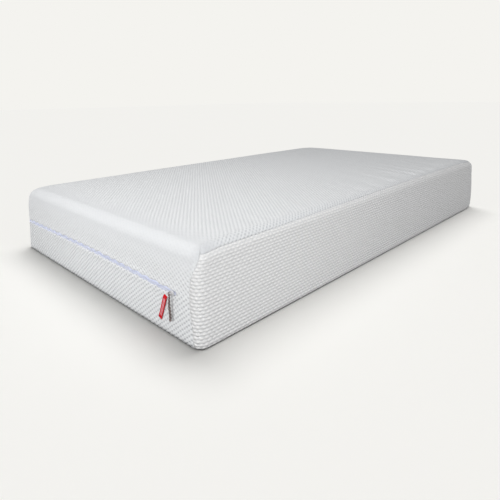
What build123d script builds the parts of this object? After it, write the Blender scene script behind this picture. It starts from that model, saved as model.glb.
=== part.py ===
from build123d import *
from math import cos, pi, radians, sin, tan
import os

# A memory foam mattress in a zip-off knitted cover.
# Frame: millimetres, +Z up, origin at the middle of the underside.
# The length runs along Y, the zip's slider is on the -Y end and the cover opens about its +X edge.

# ---- whole mattress ----
mattress_width = 1200.0
mattress_length = 2000.0
mattress_height = 270.0
corner_radius = 38.0
top_edge_radius = 35.0
bottom_edge_radius = 8.0

# ---- cover cloth ----
cloth = 4.0
end_seam_x = 565.0
edge_seam_z = 260.0
lid_gap = 0.3
hem_height = bottom_edge_radius

# ---- foam ----
foam_side_gap = 3.0
foam_top_gap = 0.5
foam_corner_radius = 31.0
foam_top_radius = 29.0
foam_base_radius = 4.0
support_thickness = 150.0
transition_thickness = 45.0

# ---- zip ----
zip_height = 125.0
zip_slot = 10.0
zip_end_x = 505.0
coil_depth = 2.4
coil_width = 2.6
coil_spacing = 1.2
tape_thickness = 0.8
tape_overlap = 16.0
stop_length = 3.0

# ---- slider ----
slider_x = 489.0
slider_length = 18.0
slider_height = 13.0
slider_front_gap = 0.4
slider_front_plate = 2.0
slider_back_gap = 0.3
slider_back_plate = 1.2
slider_bridge_length = 12.0
slider_bridge_thickness = 0.8
slider_nose = 4.0

# ---- crown: the arch on the slider that the pull cord is looped through ----
crown_x = 484.0
crown_span = 11.0
crown_wire = 1.6
crown_reach = 4.1

# ---- pull cord ----
cord_diameter = 6.0
strand_diameter = 2.4
loop_clearance = 0.3
top_knot_radius = 3.8
end_knot_radius = 4.3
knot_bite = 0.8
cord_bend_share = 0.45
# sideways place and drop below the top knot's middle of each point of the cord's route
cord_route = [(0.0, 4.2), (-1.6, 19.7), (-0.8, 35.7), (1.6, 51.2), (2.4, 64.4)]

# ---- ribbon loop ----
ribbon_width = 15.0
ribbon_length = 78.0
ribbon_thickness = 1.6
ribbon_top_x = 456.5
ribbon_top_z = 113.0
ribbon_slant = 21.0
ribbon_gap = 0.3

# ---- derived places ----
half_width = mattress_width / 2
half_length = mattress_length / 2
inner_top = mattress_height - cloth
slot_low = zip_height - zip_slot / 2
slot_high = zip_height + zip_slot / 2
coil_low = zip_height - coil_spacing / 2
coil_high = zip_height + coil_spacing / 2
coil_back_inset = cloth + tape_thickness
coil_front_inset = coil_back_inset - coil_depth
tape_low = slot_low - tape_overlap
tape_high = slot_high + tape_overlap
foam_width = mattress_width - 2 * (cloth + foam_side_gap)
foam_length = mattress_length - 2 * (cloth + foam_side_gap)
foam_top = inner_top - foam_top_gap
plate_outer_y = -half_length - slider_front_gap - slider_front_plate
crown_bar_y = plate_outer_y - crown_reach
loop_radius = crown_wire / 2 + loop_clearance + strand_diameter / 2
top_knot_z = zip_height - loop_radius - strand_diameter / 2 - top_knot_radius + knot_bite
beyond = 100.0
margin = 1.0
over_top = mattress_height + beyond


def rounded_block(inset, base_z, top_z, top_round, base_round):
    """The mattress outline moved in by inset, with its top and bottom edges rounded."""
    with BuildPart() as block:
        with BuildSketch(Plane.XY.offset(base_z)):
            RectangleRounded(
                mattress_width - 2 * inset,
                mattress_length - 2 * inset,
                corner_radius - inset,
            )
        extrude(amount=top_z - base_z)
        if top_round > 0:
            fillet(block.faces().sort_by(Axis.Z)[-1].edges(), top_round)
        if base_round > 0:
            fillet(block.faces().sort_by(Axis.Z)[0].edges(), base_round)
    return block.part


def region(low_x, high_x, low_z, high_z):
    """A block that keeps one stretch of the cover, over the whole length."""
    with BuildPart() as block:
        with Locations(((low_x + high_x) / 2, 0, (low_z + high_z) / 2)):
            Box(high_x - low_x, mattress_length + beyond, high_z - low_z)
    return block.part


def foam_slab(base_z, top_z, top_round, base_round):
    """One layer of the foam block, with its top or bottom edge rounded."""
    with BuildPart() as slab:
        with BuildSketch(Plane.XY.offset(base_z)):
            RectangleRounded(foam_width, foam_length, foam_corner_radius)
        extrude(amount=top_z - base_z)
        if top_round > 0:
            fillet(slab.faces().sort_by(Axis.Z)[-1].edges(), top_round)
        if base_round > 0:
            fillet(slab.faces().sort_by(Axis.Z)[0].edges(), base_round)
    return slab.part


def zip_strip(low_z, high_z, outer_inset, inner_inset, end_x):
    """A strip that follows the cover round three sides, between two insets and two heights."""
    with BuildPart() as strip:
        with BuildSketch(Plane.XY.offset(low_z)):
            RectangleRounded(
                mattress_width - 2 * outer_inset,
                mattress_length - 2 * outer_inset,
                corner_radius - outer_inset,
            )
            RectangleRounded(
                mattress_width - 2 * inner_inset,
                mattress_length - 2 * inner_inset,
                corner_radius - inner_inset,
                mode=Mode.SUBTRACT,
            )
        extrude(amount=high_z - low_z)
        add(region(end_x, half_width + beyond, low_z - margin, high_z + margin), mode=Mode.SUBTRACT)
    return strip.part


def write(part, name):
    """Label a finished piece and write it."""
    part.label = name
    export_step(part, "parts/" + name + ".step")


os.makedirs("parts", exist_ok=True)

cover_outer = rounded_block(0, 0, mattress_height, top_edge_radius, bottom_edge_radius)
cover_inner = rounded_block(
    cloth,
    cloth,
    inner_top,
    top_edge_radius - cloth,
    bottom_edge_radius - cloth,
)

# ---- foam block: three layers glued on each other ----
support_base = cloth
transition_base = support_base + support_thickness
memory_base = transition_base + transition_thickness

with BuildPart() as support_foam_core:
    add(foam_slab(support_base, transition_base, 0, foam_base_radius))
write(support_foam_core.part, "support_foam_core")

with BuildPart() as transition_foam_layer:
    add(foam_slab(transition_base, memory_base, 0, 0))
write(transition_foam_layer.part, "transition_foam_layer")

with BuildPart() as memory_foam_layer:
    add(foam_slab(memory_base, foam_top, foam_top_radius, 0))
write(memory_foam_layer.part, "memory_foam_layer")

# ---- cover: the top cloth turns down over both ends and the -X side as the upper border, and
# on the +X side it goes half way over the rounded edge
with BuildPart() as top_cloth_reach:
    add(region(-half_width - beyond, end_seam_x - lid_gap, zip_height + lid_gap / 2, over_top))
    add(region(zip_end_x, half_width + beyond, edge_seam_z + lid_gap / 2, over_top))

with BuildPart() as cover_top:
    add(cover_outer)
    add(cover_inner, mode=Mode.SUBTRACT)
    add(top_cloth_reach.part, mode=Mode.INTERSECT)
    add(region(-half_width - beyond, zip_end_x, slot_low - beyond, slot_high), mode=Mode.SUBTRACT)
write(cover_top.part, "cover_top")

with BuildPart() as cover_lower_border:
    add(cover_outer)
    add(cover_inner, mode=Mode.SUBTRACT)
    add(
        region(-half_width - beyond, end_seam_x, hem_height, zip_height - lid_gap / 2),
        mode=Mode.INTERSECT,
    )
    add(region(-half_width - beyond, zip_end_x, slot_low, mattress_height), mode=Mode.SUBTRACT)
write(cover_lower_border.part, "cover_lower_border")

# ---- the +X side panel is one cloth from the hem to the edge's seam, and wraps both corners ----
with BuildPart() as cover_side_panel:
    add(cover_outer)
    add(cover_inner, mode=Mode.SUBTRACT)
    add(
        region(end_seam_x, half_width + beyond, hem_height, edge_seam_z - lid_gap / 2),
        mode=Mode.INTERSECT,
    )
write(cover_side_panel.part, "cover_side_panel")

with BuildPart() as cover_bottom_panel:
    add(cover_outer)
    add(cover_inner, mode=Mode.SUBTRACT)
    add(
        region(-half_width - beyond, half_width + beyond, -beyond, hem_height),
        mode=Mode.INTERSECT,
    )
write(cover_bottom_panel.part, "cover_bottom_panel")

# ---- zip: a tape and a coil on each side of the slot, round three sides ----
coil_end_x = zip_end_x - stop_length

with BuildPart() as zip_tape_lower:
    add(zip_strip(tape_low, coil_low - coil_width, cloth, coil_back_inset, zip_end_x))
write(zip_tape_lower.part, "zip_tape_lower")

with BuildPart() as zip_tape_upper:
    add(zip_strip(coil_high + coil_width, tape_high, cloth, coil_back_inset, zip_end_x))
write(zip_tape_upper.part, "zip_tape_upper")

with BuildPart() as zip_coil_lower:
    add(zip_strip(coil_low - coil_width, coil_low, coil_front_inset, coil_back_inset, coil_end_x))
write(zip_coil_lower.part, "zip_coil_lower")

with BuildPart() as zip_coil_upper:
    add(zip_strip(coil_high, coil_high + coil_width, coil_front_inset, coil_back_inset, coil_end_x))
write(zip_coil_upper.part, "zip_coil_upper")

# ---- a stop at each end of each coil ----
stop_middle_y = half_length - (coil_front_inset + coil_back_inset) / 2
stop_middle_x = zip_end_x - stop_length / 2
stop_low_z = coil_low - coil_width / 2
stop_high_z = coil_high + coil_width / 2

with BuildPart() as zip_stops_lower:
    with Locations((stop_middle_x, -stop_middle_y, stop_low_z), (stop_middle_x, stop_middle_y, stop_low_z)):
        Box(stop_length, coil_depth, coil_width)
write(zip_stops_lower.part, "zip_stops_lower")

with BuildPart() as zip_stops_upper:
    with Locations((stop_middle_x, -stop_middle_y, stop_high_z), (stop_middle_x, stop_middle_y, stop_high_z)):
        Box(stop_length, coil_depth, coil_width)
write(zip_stops_upper.part, "zip_stops_upper")

# ---- slider: a plate in front of the slot and one behind the tapes, on a bridge between the coils ----
front_plate_y = plate_outer_y + slider_front_plate / 2
back_plate_y = -half_length + coil_back_inset + slider_back_gap + slider_back_plate / 2
bridge_start_y = plate_outer_y + slider_front_plate / 2
bridge_x = slider_x + (slider_length - slider_bridge_length) / 2

with BuildPart() as zip_slider_body:
    with BuildSketch(Plane.XZ.offset(-plate_outer_y - slider_front_plate)):
        with Locations((slider_x, zip_height)):
            RectangleRounded(slider_length, slider_height, slider_nose)
    extrude(amount=slider_front_plate)
    with BuildSketch(Plane.XZ.offset(-back_plate_y - slider_back_plate / 2)):
        with Locations((slider_x, zip_height)):
            RectangleRounded(slider_length, slider_height, slider_nose)
    extrude(amount=slider_back_plate)
    with Locations((bridge_x, (bridge_start_y + back_plate_y) / 2, zip_height)):
        Box(slider_bridge_length, back_plate_y - bridge_start_y, slider_bridge_thickness)
write(zip_slider_body.part, "zip_slider_body")

crown_foot_x = crown_span / 2 - crown_wire / 2
with BuildPart() as zip_slider_crown:
    with BuildLine():
        FilletPolyline(
            (crown_x - crown_foot_x, plate_outer_y, zip_height),
            (crown_x - crown_foot_x, crown_bar_y, zip_height),
            (crown_x + crown_foot_x, crown_bar_y, zip_height),
            (crown_x + crown_foot_x, plate_outer_y, zip_height),
            radius=crown_wire,
        )
    with BuildSketch(Plane.XZ.offset(-plate_outer_y)):
        with Locations((crown_x - crown_foot_x, zip_height)):
            Circle(crown_wire / 2)
    sweep()
write(zip_slider_crown.part, "zip_slider_crown")

# ---- pull cord: a loop on the crown's bar, a knot under it, the hanging cord and its end knot ----
with BuildPart() as pull_cord_loop:
    with Locations((crown_x, crown_bar_y, zip_height)):
        Torus(loop_radius, strand_diameter / 2, rotation=(0, 90, 0))
write(pull_cord_loop.part, "pull_cord_loop")

with BuildPart() as pull_cord_top_knot:
    with Locations((crown_x, crown_bar_y, top_knot_z)):
        Sphere(top_knot_radius)
write(pull_cord_top_knot.part, "pull_cord_top_knot")

cord_points = [(crown_x + sideways, crown_bar_y, top_knot_z - drop) for sideways, drop in cord_route]
cord_radii = []
for before, corner, after in zip(cord_points, cord_points[1:], cord_points[2:]):
    run_in = Vector(*corner) - Vector(*before)
    run_out = Vector(*after) - Vector(*corner)
    half_turn = radians(run_in.get_angle(run_out)) / 2
    cord_radii.append(cord_bend_share * min(run_in.length, run_out.length) / tan(half_turn))

cord_start = Vector(*cord_points[0])
cord_end = Vector(*cord_points[-1])
cord_start_way = (Vector(*cord_points[1]) - cord_start).normalized()
cord_end_way = (cord_end - Vector(*cord_points[-2])).normalized()

with BuildPart() as pull_cord:
    with BuildLine() as cord_line:
        FilletPolyline(*cord_points, radius=cord_radii)
    with BuildSketch(Plane(origin=cord_start, z_dir=cord_start_way)):
        Circle(cord_diameter / 2)
    sweep()
write(pull_cord.part, "pull_cord")
cord_length = cord_line.wire().length
cord_section = cord_diameter**2 * pi / 4
print("cord bend radii", [round(radius, 1) for radius in cord_radii])
print("cord length", round(cord_length, 1))
print("cord volume over section times length", round(pull_cord.part.volume / cord_section / cord_length, 4))

with BuildPart() as pull_cord_end_knot:
    with Locations(cord_end + cord_end_way * (end_knot_radius - knot_bite)):
        Sphere(end_knot_radius)
write(pull_cord_end_knot.part, "pull_cord_end_knot")

# ---- ribbon loop: a folded woven ribbon sewn on under the zip, slanting to the -X side ----
slant = radians(ribbon_slant)
top_half = ribbon_width / 2 / cos(slant)
fold_x = ribbon_top_x - ribbon_length * sin(slant)
fold_z = ribbon_top_z - ribbon_length * cos(slant)
fold_half_x = ribbon_width / 2 * cos(slant)
fold_half_z = ribbon_width / 2 * sin(slant)

with BuildPart() as ribbon_loop:
    with BuildSketch(Plane.XZ.offset(half_length + ribbon_gap)):
        with BuildLine():
            Polyline(
                (ribbon_top_x - top_half, ribbon_top_z),
                (ribbon_top_x + top_half, ribbon_top_z),
                (fold_x + fold_half_x, fold_z - fold_half_z),
                (fold_x - fold_half_x, fold_z + fold_half_z),
                close=True,
            )
        make_face()
    extrude(amount=ribbon_thickness)
write(ribbon_loop.part, "ribbon_loop")
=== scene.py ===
"""A memory foam mattress in a zip-off knitted cover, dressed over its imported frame."""

import logging
import math
from dataclasses import dataclass, field
from enum import Enum

import bmesh
import bpy
import numpy as np
from mathutils import Matrix, Vector


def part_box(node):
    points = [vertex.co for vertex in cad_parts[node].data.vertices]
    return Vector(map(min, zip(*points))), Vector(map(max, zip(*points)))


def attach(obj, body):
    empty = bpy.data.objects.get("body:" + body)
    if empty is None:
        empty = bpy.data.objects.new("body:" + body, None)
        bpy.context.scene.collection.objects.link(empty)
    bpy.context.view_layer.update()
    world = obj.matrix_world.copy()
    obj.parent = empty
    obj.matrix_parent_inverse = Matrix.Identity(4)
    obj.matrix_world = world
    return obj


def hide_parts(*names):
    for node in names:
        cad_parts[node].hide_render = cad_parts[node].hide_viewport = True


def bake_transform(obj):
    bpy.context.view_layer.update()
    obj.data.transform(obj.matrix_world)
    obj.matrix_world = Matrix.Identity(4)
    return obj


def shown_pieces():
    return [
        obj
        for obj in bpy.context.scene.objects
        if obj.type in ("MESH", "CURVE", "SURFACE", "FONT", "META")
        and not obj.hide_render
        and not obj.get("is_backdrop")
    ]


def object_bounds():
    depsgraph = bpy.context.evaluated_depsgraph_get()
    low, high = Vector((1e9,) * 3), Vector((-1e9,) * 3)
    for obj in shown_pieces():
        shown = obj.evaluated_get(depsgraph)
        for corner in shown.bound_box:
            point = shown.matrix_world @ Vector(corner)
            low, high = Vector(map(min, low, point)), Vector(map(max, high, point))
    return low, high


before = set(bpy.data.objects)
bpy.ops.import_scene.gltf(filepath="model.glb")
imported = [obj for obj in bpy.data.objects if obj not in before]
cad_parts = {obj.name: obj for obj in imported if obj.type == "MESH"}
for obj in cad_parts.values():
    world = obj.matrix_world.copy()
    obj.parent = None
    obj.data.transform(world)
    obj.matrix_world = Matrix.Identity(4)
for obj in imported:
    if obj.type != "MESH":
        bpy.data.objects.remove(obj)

log = logging.getLogger("mattress")
MM = 0.001
TURN = 2 * math.pi
Point = tuple[float, float, float]
Colour = tuple[float, float, float, float]
CAD_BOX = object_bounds()


# ---------------------------------------------------------------- small sums on arrays


def smooth(value: np.ndarray) -> np.ndarray:
    """A rise from 0 to 1 with level ends: the value held to 0..1, then 3v² - 2v³.

    Args:
        value: where each point is on the rise.

    Returns:
        The height of the rise at each point.
    """
    held = np.clip(value, 0.0, 1.0)
    return held * held * (3 - 2 * held)


def unit(vectors: np.ndarray) -> np.ndarray:
    """Each vector divided by its length.

    Args:
        vectors: an array whose last axis holds the vectors.

    Returns:
        The unit vectors.
    """
    return vectors / np.maximum(np.linalg.norm(vectors, axis=-1, keepdims=True), 1e-12)


def drift(walk: np.ndarray, longest: float, seed: float) -> np.ndarray:
    """An uneven wander from -1 to 1: three sines whose lengths have no common measure.

    Args:
        walk: the distance along the thing that wanders.
        longest: the longest wave's length.
        seed: shifts the three waves.

    Returns:
        The wander at each distance.
    """
    turns = walk / longest * TURN
    return (
        0.5 * np.sin(turns + seed)
        + 0.3 * np.sin(1.73 * turns + 2.1 * seed)
        + 0.2 * np.sin(2.91 * turns + 3.7 * seed)
    )


# ---------------------------------------------------------------- meshes from surfaces


@dataclass
class Patch:
    """A surface as a grid of points, with a flat map of it in metres.

    The normal points to the side from which rows run down and columns run to the left.
    """

    points: np.ndarray
    chart: np.ndarray
    flipped: bool = False

    def quads(self, first: int) -> np.ndarray:
        """The grid's faces as four vertex numbers each, counted from first."""
        rows, columns = self.points.shape[:2]
        number = np.arange(rows * columns).reshape(rows, columns) + first
        corners = [number[:-1, :-1], number[1:, :-1], number[1:, 1:], number[:-1, 1:]]
        faces = np.stack(corners, axis=-1).reshape(-1, 4)
        return faces[:, ::-1] if self.flipped else faces


def build_mesh(name: str, patches: list[Patch], merge: float = 2e-6) -> bpy.types.Object:
    """One object of several patches, sewn together where their edges meet.

    Args:
        name: the piece's name.
        patches: the surfaces.
        merge: points closer than this become one.

    Returns:
        The new object, smooth shaded, with its map in the UV layer "chart".
    """
    starts = np.cumsum([0] + [p.points.shape[0] * p.points.shape[1] for p in patches])
    points = np.concatenate([p.points.reshape(-1, 3) for p in patches])
    chart = np.concatenate([p.chart.reshape(-1, 2) for p in patches])
    faces = np.concatenate([p.quads(int(s)) for p, s in zip(patches, starts)])
    mesh = bpy.data.meshes.new(name)
    mesh.from_pydata(points.tolist(), [], faces.tolist())
    layer = mesh.uv_layers.new(name="chart")
    layer.data.foreach_set("uv", chart[faces.ravel()].astype(np.float32).ravel())
    body = bmesh.new()
    body.from_mesh(mesh)
    bmesh.ops.remove_doubles(body, verts=body.verts, dist=merge)
    bmesh.ops.dissolve_degenerate(body, edges=body.edges, dist=merge)
    body.to_mesh(mesh)
    body.free()
    mesh.shade_smooth()
    obj = bpy.data.objects.new(name, mesh)
    bpy.context.scene.collection.objects.link(obj)
    return obj


def bake_modifiers(obj: bpy.types.Object) -> None:
    """Writes the object's modifiers into its mesh.

    Args:
        obj: the piece, whose modifiers are then gone.
    """
    graph = bpy.context.evaluated_depsgraph_get()
    graph.update()
    plain = obj.data
    obj.data = bpy.data.meshes.new_from_object(obj.evaluated_get(graph), depsgraph=graph)
    obj.modifiers.clear()
    bpy.data.meshes.remove(plain)


def thicken(obj: bpy.types.Object, thickness: float) -> None:
    """Gives a sheet its wall, on the inner side, and writes it into the mesh.

    Args:
        obj: the sheet.
        thickness: the wall's thickness.
    """
    wall = obj.modifiers.new("wall", "SOLIDIFY")
    wall.thickness = thickness
    wall.offset = -1.0
    bake_modifiers(obj)


def frames_along(path: np.ndarray, up: Point) -> tuple[np.ndarray, np.ndarray, np.ndarray]:
    """The direction, side and rise of a path at each of its points.

    The direction is the difference of the points' neighbours, the side is square to it and
    to up, and the rise is square to both.

    Args:
        path: the points.
        up: a direction that the path never runs along.

    Returns:
        Three arrays of unit vectors.
    """
    ahead = unit(np.gradient(path, axis=0))
    side = unit(np.cross(ahead, np.array(up, float)))
    return ahead, side, np.cross(side, ahead)


def tube(path: np.ndarray, radius: np.ndarray | float, sides: int, up: Point,
         closed: bool = False, wide: float = 1.0) -> Patch:
    """A round section carried along a path.

    Each ring is centre + radius (cos a side + wide sin a rise). An open tube ends in two
    shrinking rings, so that it is shut.

    Args:
        path: the points of the middle line; a closed path doesn't repeat its first point.
        radius: one radius, or one for each point.
        sides: the number of faces round the section.
        up: a direction that the path never runs along.
        closed: whether the path's end is joined to its start.
        wide: how much larger the section is along the rise.

    Returns:
        The surface, with a map of distance along and round.
    """
    radii = np.broadcast_to(np.asarray(radius, float), (len(path),)).copy()
    if closed:
        path = np.concatenate([path, path[:1]])
        radii = np.append(radii, radii[0])
        wrapped = np.concatenate([path[-2:-1], path, path[1:2]])
        ahead, side, rise = (a[1:-1] for a in frames_along(wrapped, up))
    else:
        ahead, side, rise = frames_along(path, up)
        cap = np.array([0.0, 0.62])
        start = path[0] - ahead[0] * radii[0] * np.array([[0.55], [0.4]])
        finish = path[-1] + ahead[-1] * radii[-1] * np.array([[0.4], [0.55]])
        path = np.concatenate([start, path, finish])
        radii = np.concatenate([cap * radii[0], radii, cap[::-1] * radii[-1]])
        side = np.concatenate([side[[0, 0]], side, side[[-1, -1]]])
        rise = np.concatenate([rise[[0, 0]], rise, rise[[-1, -1]]])
    angle = np.linspace(0, TURN, sides + 1)
    ring = np.cos(angle)[None, :, None] * side[:, None] + wide * np.sin(angle)[None, :, None] * rise[:, None]
    points = path[:, None] + radii[:, None, None] * ring
    along = np.concatenate([[0.0], np.cumsum(np.linalg.norm(np.diff(path, axis=0), axis=1))])
    chart = np.stack(np.broadcast_arrays(along[:, None], (angle * radii.max())[None]), axis=-1)
    return Patch(points, chart)


# ---------------------------------------------------------------- node trees


class Graph:
    """A node tree that is being filled, with short calls for the nodes that the finishes use."""

    def __init__(self, tree: bpy.types.NodeTree) -> None:
        """Holds the tree."""
        self.tree = tree

    def node(self, kind: str, **settings: object) -> bpy.types.Node:
        """A new node of that kind, with its properties set."""
        made = self.tree.nodes.new(kind)
        for name, value in settings.items():
            setattr(made, name, value)
        return made

    def feed(self, socket: bpy.types.NodeSocket, value: object) -> None:
        """Links a socket to value if that is a socket, or else sets it to value."""
        if isinstance(value, bpy.types.NodeSocket):
            self.tree.links.new(value, socket)
        elif value is not None:
            socket.default_value = value

    def maths(self, operation: str, *values: object, clamp: bool = False) -> bpy.types.NodeSocket:
        """The result of a sum on numbers."""
        made = self.node("ShaderNodeMath", operation=operation, use_clamp=clamp)
        for socket, value in zip(made.inputs, values):
            self.feed(socket, value)
        return made.outputs[0]

    def vector(self, operation: str, *values: object) -> bpy.types.NodeSocket:
        """The result of a sum on vectors."""
        made = self.node("ShaderNodeVectorMath", operation=operation)
        for socket, value in zip(made.inputs, values):
            self.feed(socket, value)
        return made.outputs[0]

    def scaled(self, vector: object, factor: object) -> bpy.types.NodeSocket:
        """A vector times a number."""
        made = self.node("ShaderNodeVectorMath", operation="SCALE")
        self.feed(made.inputs["Vector"], vector)
        self.feed(made.inputs["Scale"], factor)
        return made.outputs[0]

    def split(self, vector: object) -> tuple[bpy.types.NodeSocket, ...]:
        """A vector's three numbers."""
        made = self.node("ShaderNodeSeparateXYZ")
        self.feed(made.inputs[0], vector)
        return tuple(made.outputs)

    def joined(self, x: object, y: object, z: object = 0.0) -> bpy.types.NodeSocket:
        """A vector of three numbers."""
        made = self.node("ShaderNodeCombineXYZ")
        for socket, value in zip(made.inputs, (x, y, z)):
            self.feed(socket, value)
        return made.outputs[0]

    def noise(self, vector: object, scale: float, detail: float = 2.0, rough: float = 0.5) -> bpy.types.Node:
        """A noise texture at scale lumps to the metre."""
        made = self.node("ShaderNodeTexNoise")
        self.feed(made.inputs["Vector"], vector)
        self.feed(made.inputs["Scale"], scale)
        self.feed(made.inputs["Detail"], detail)
        self.feed(made.inputs["Roughness"], rough)
        return made

    def spread(self, value: object, low: float, high: float, to_low: float,
               to_high: float) -> bpy.types.NodeSocket:
        """A value moved from one range to another, held to it, with level ends."""
        made = self.node("ShaderNodeMapRange", interpolation_type="SMOOTHSTEP")
        for socket, number in zip(made.inputs, (value, low, high, to_low, to_high)):
            self.feed(socket, number)
        return made.outputs[0]

    def mixed(self, share: object, first: object, second: object, how: str = "MIX") -> bpy.types.NodeSocket:
        """Two colours mixed, by share of the second."""
        made = self.node("ShaderNodeMix", data_type="RGBA", blend_type=how)
        self.feed(made.inputs[0], share)
        self.feed(made.inputs[6], first)
        self.feed(made.inputs[7], second)
        return made.outputs[2]

    def group(self, tree: bpy.types.NodeTree, **values: object) -> bpy.types.Node:
        """A shared effect placed in this tree, its inputs named with _ for a space."""
        made = self.node("ShaderNodeGroup", node_tree=tree)
        for name, value in values.items():
            self.feed(made.inputs[name.replace("_", " ")], value)
        return made

    def bump(self, height: object, depth: float, normal: object = None) -> bpy.types.NodeSocket:
        """A normal that stands the surface up by height times depth."""
        made = self.node("ShaderNodeBump")
        made.inputs["Distance"].default_value = depth
        self.feed(made.inputs["Height"], height)
        self.feed(made.inputs["Normal"], normal)
        return made.outputs[0]


class Effects:
    """The effects that several finishes share, each a node group that is built once."""

    def __init__(self) -> None:
        """Builds the groups."""
        self.knit_cells = self._knit_cells()
        self.yarn_loops = self._yarn_loops()
        self.uneven = self._uneven()
        self.weave = self._weave()

    @staticmethod
    def _start(name: str, inputs: dict[str, object],
               outputs: dict[str, str]) -> tuple[Graph, bpy.types.Node, bpy.types.Node]:
        """A new group with its sockets and its two end nodes.

        Args:
            name: the group's name.
            inputs: each input's name, with a number as its default, or None for a vector.
            outputs: each output's name and kind.

        Returns:
            The group's graph, its input node and its output node.
        """
        tree = bpy.data.node_groups.new(name, "ShaderNodeTree")
        for label, default in inputs.items():
            kind = "NodeSocketVector" if default is None else "NodeSocketFloat"
            socket = tree.interface.new_socket(label, in_out="INPUT", socket_type=kind)
            if default is not None:
                socket.default_value = default
        for label, kind in outputs.items():
            tree.interface.new_socket(label, in_out="OUTPUT", socket_type=kind)
        graph = Graph(tree)
        return graph, graph.node("NodeGroupInput"), graph.node("NodeGroupOutput")

    def _knit_cells(self) -> bpy.types.NodeTree:
        """Puffed cells of a thick knit in a brick lattice.

        With a and b the turns across and up a cell, the height is
        (1 - r) ((1/2 + l) cos(a + b) + (1/2 - l) cos(a - b)) + r cos 2b, where l leans the
        cells to one diagonal and r cuts the valleys between rows. Pits is the depth under the
        crests, to the power Pit Sharpness.
        """
        graph, given, result = self._start(
            "knit cells",
            {"Chart": None, "Cell Width": 0.018, "Cell Height": 0.0146, "Lean": 0.0, "Row Depth": 0.0,
             "Pit Sharpness": 3.0, "Wander": 0.0012},
            {"Height": "NodeSocketFloat", "Pits": "NodeSocketFloat", "Crests": "NodeSocketFloat"},
        )
        cloud = graph.noise(given.outputs["Chart"], 26.0, 2.0)
        centred = graph.vector("SUBTRACT", cloud.outputs["Color"], (0.5, 0.5, 0.5))
        shift = graph.scaled(centred, given.outputs["Wander"])
        across, up, _ = graph.split(graph.vector("ADD", given.outputs["Chart"], graph.scaled(shift, 2.0)))
        a = graph.maths("MULTIPLY", graph.maths("DIVIDE", across, given.outputs["Cell Width"]), TURN)
        b = graph.maths("MULTIPLY", graph.maths("DIVIDE", up, given.outputs["Cell Height"]), TURN)
        rising = graph.maths("COSINE", graph.maths("ADD", a, b))
        falling = graph.maths("COSINE", graph.maths("SUBTRACT", a, b))
        lean = given.outputs["Lean"]
        first = graph.maths("MULTIPLY", graph.maths("ADD", 0.5, lean), rising)
        second = graph.maths("MULTIPLY", graph.maths("SUBTRACT", 0.5, lean), falling)
        lattice = graph.maths("ADD", first, second)
        rows = graph.maths("COSINE", graph.maths("MULTIPLY", b, 2.0))
        depth = given.outputs["Row Depth"]
        kept = graph.maths("MULTIPLY", lattice, graph.maths("SUBTRACT", 1.0, depth))
        height = graph.maths("ADD", kept, graph.maths("MULTIPLY", rows, depth))
        under = graph.maths("MULTIPLY", graph.maths("SUBTRACT", 1.0, height), 0.5, clamp=True)
        pits = graph.maths("POWER", under, given.outputs["Pit Sharpness"])
        over = graph.maths("MULTIPLY", graph.maths("ADD", 1.0, height), 0.5, clamp=True)
        graph.feed(result.inputs["Pits"], pits)
        graph.feed(result.inputs["Crests"], graph.maths("POWER", over, 2.0))
        graph.feed(result.inputs["Height"], graph.maths("SUBTRACT", 1.0, pits))
        return graph.tree

    def _yarn_loops(self) -> bpy.types.NodeTree:
        """The fine columns of loops that a knit is made of.

        Each column is |sin| across the wale, and the loops in it are a sine up the column,
        put back at its two edges so that each makes a V.
        """
        graph, given, result = self._start(
            "yarn loops", {"Chart": None, "Wale": 0.0013, "Course": 0.0011}, {"Height": "NodeSocketFloat"}
        )
        across, up, _ = graph.split(given.outputs["Chart"])
        wales = graph.maths("DIVIDE", across, given.outputs["Wale"])
        column = graph.maths("ABSOLUTE", graph.maths("SINE", graph.maths("MULTIPLY", wales, math.pi)))
        edge = graph.maths("ABSOLUTE", graph.maths("SUBTRACT", graph.maths("FRACT", wales), 0.5))
        courses = graph.maths(
            "ADD", graph.maths("DIVIDE", up, given.outputs["Course"]), graph.maths("MULTIPLY", edge, 1.4))
        loops = graph.maths("SINE", graph.maths("MULTIPLY", courses, TURN))
        raised = graph.maths("MULTIPLY", graph.maths("ADD", 1.4, loops), graph.maths("MULTIPLY", column, 0.4))
        graph.feed(result.inputs["Height"], raised)
        return graph.tree

    def _uneven(self) -> bpy.types.NodeTree:
        """Soft blotches from -1 to 1 at a broad and a small size, for colour that isn't all one."""
        graph, given, result = self._start(
            "uneven", {"Place": None, "Broad": 2.5, "Small": 40.0}, {"Value": "NodeSocketFloat"}
        )
        broad = graph.node("ShaderNodeTexNoise")
        small = graph.node("ShaderNodeTexNoise")
        for made, scale in ((broad, "Broad"), (small, "Small")):
            graph.feed(made.inputs["Vector"], given.outputs["Place"])
            graph.feed(made.inputs["Scale"], given.outputs[scale])
            graph.feed(made.inputs["Detail"], 3.0)
        total = graph.maths("ADD", broad.outputs[0], graph.maths("MULTIPLY", small.outputs[0], 0.5))
        graph.feed(result.inputs["Value"], graph.maths("MULTIPLY", graph.maths("SUBTRACT", total, 0.75), 2.0))
        return graph.tree

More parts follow.
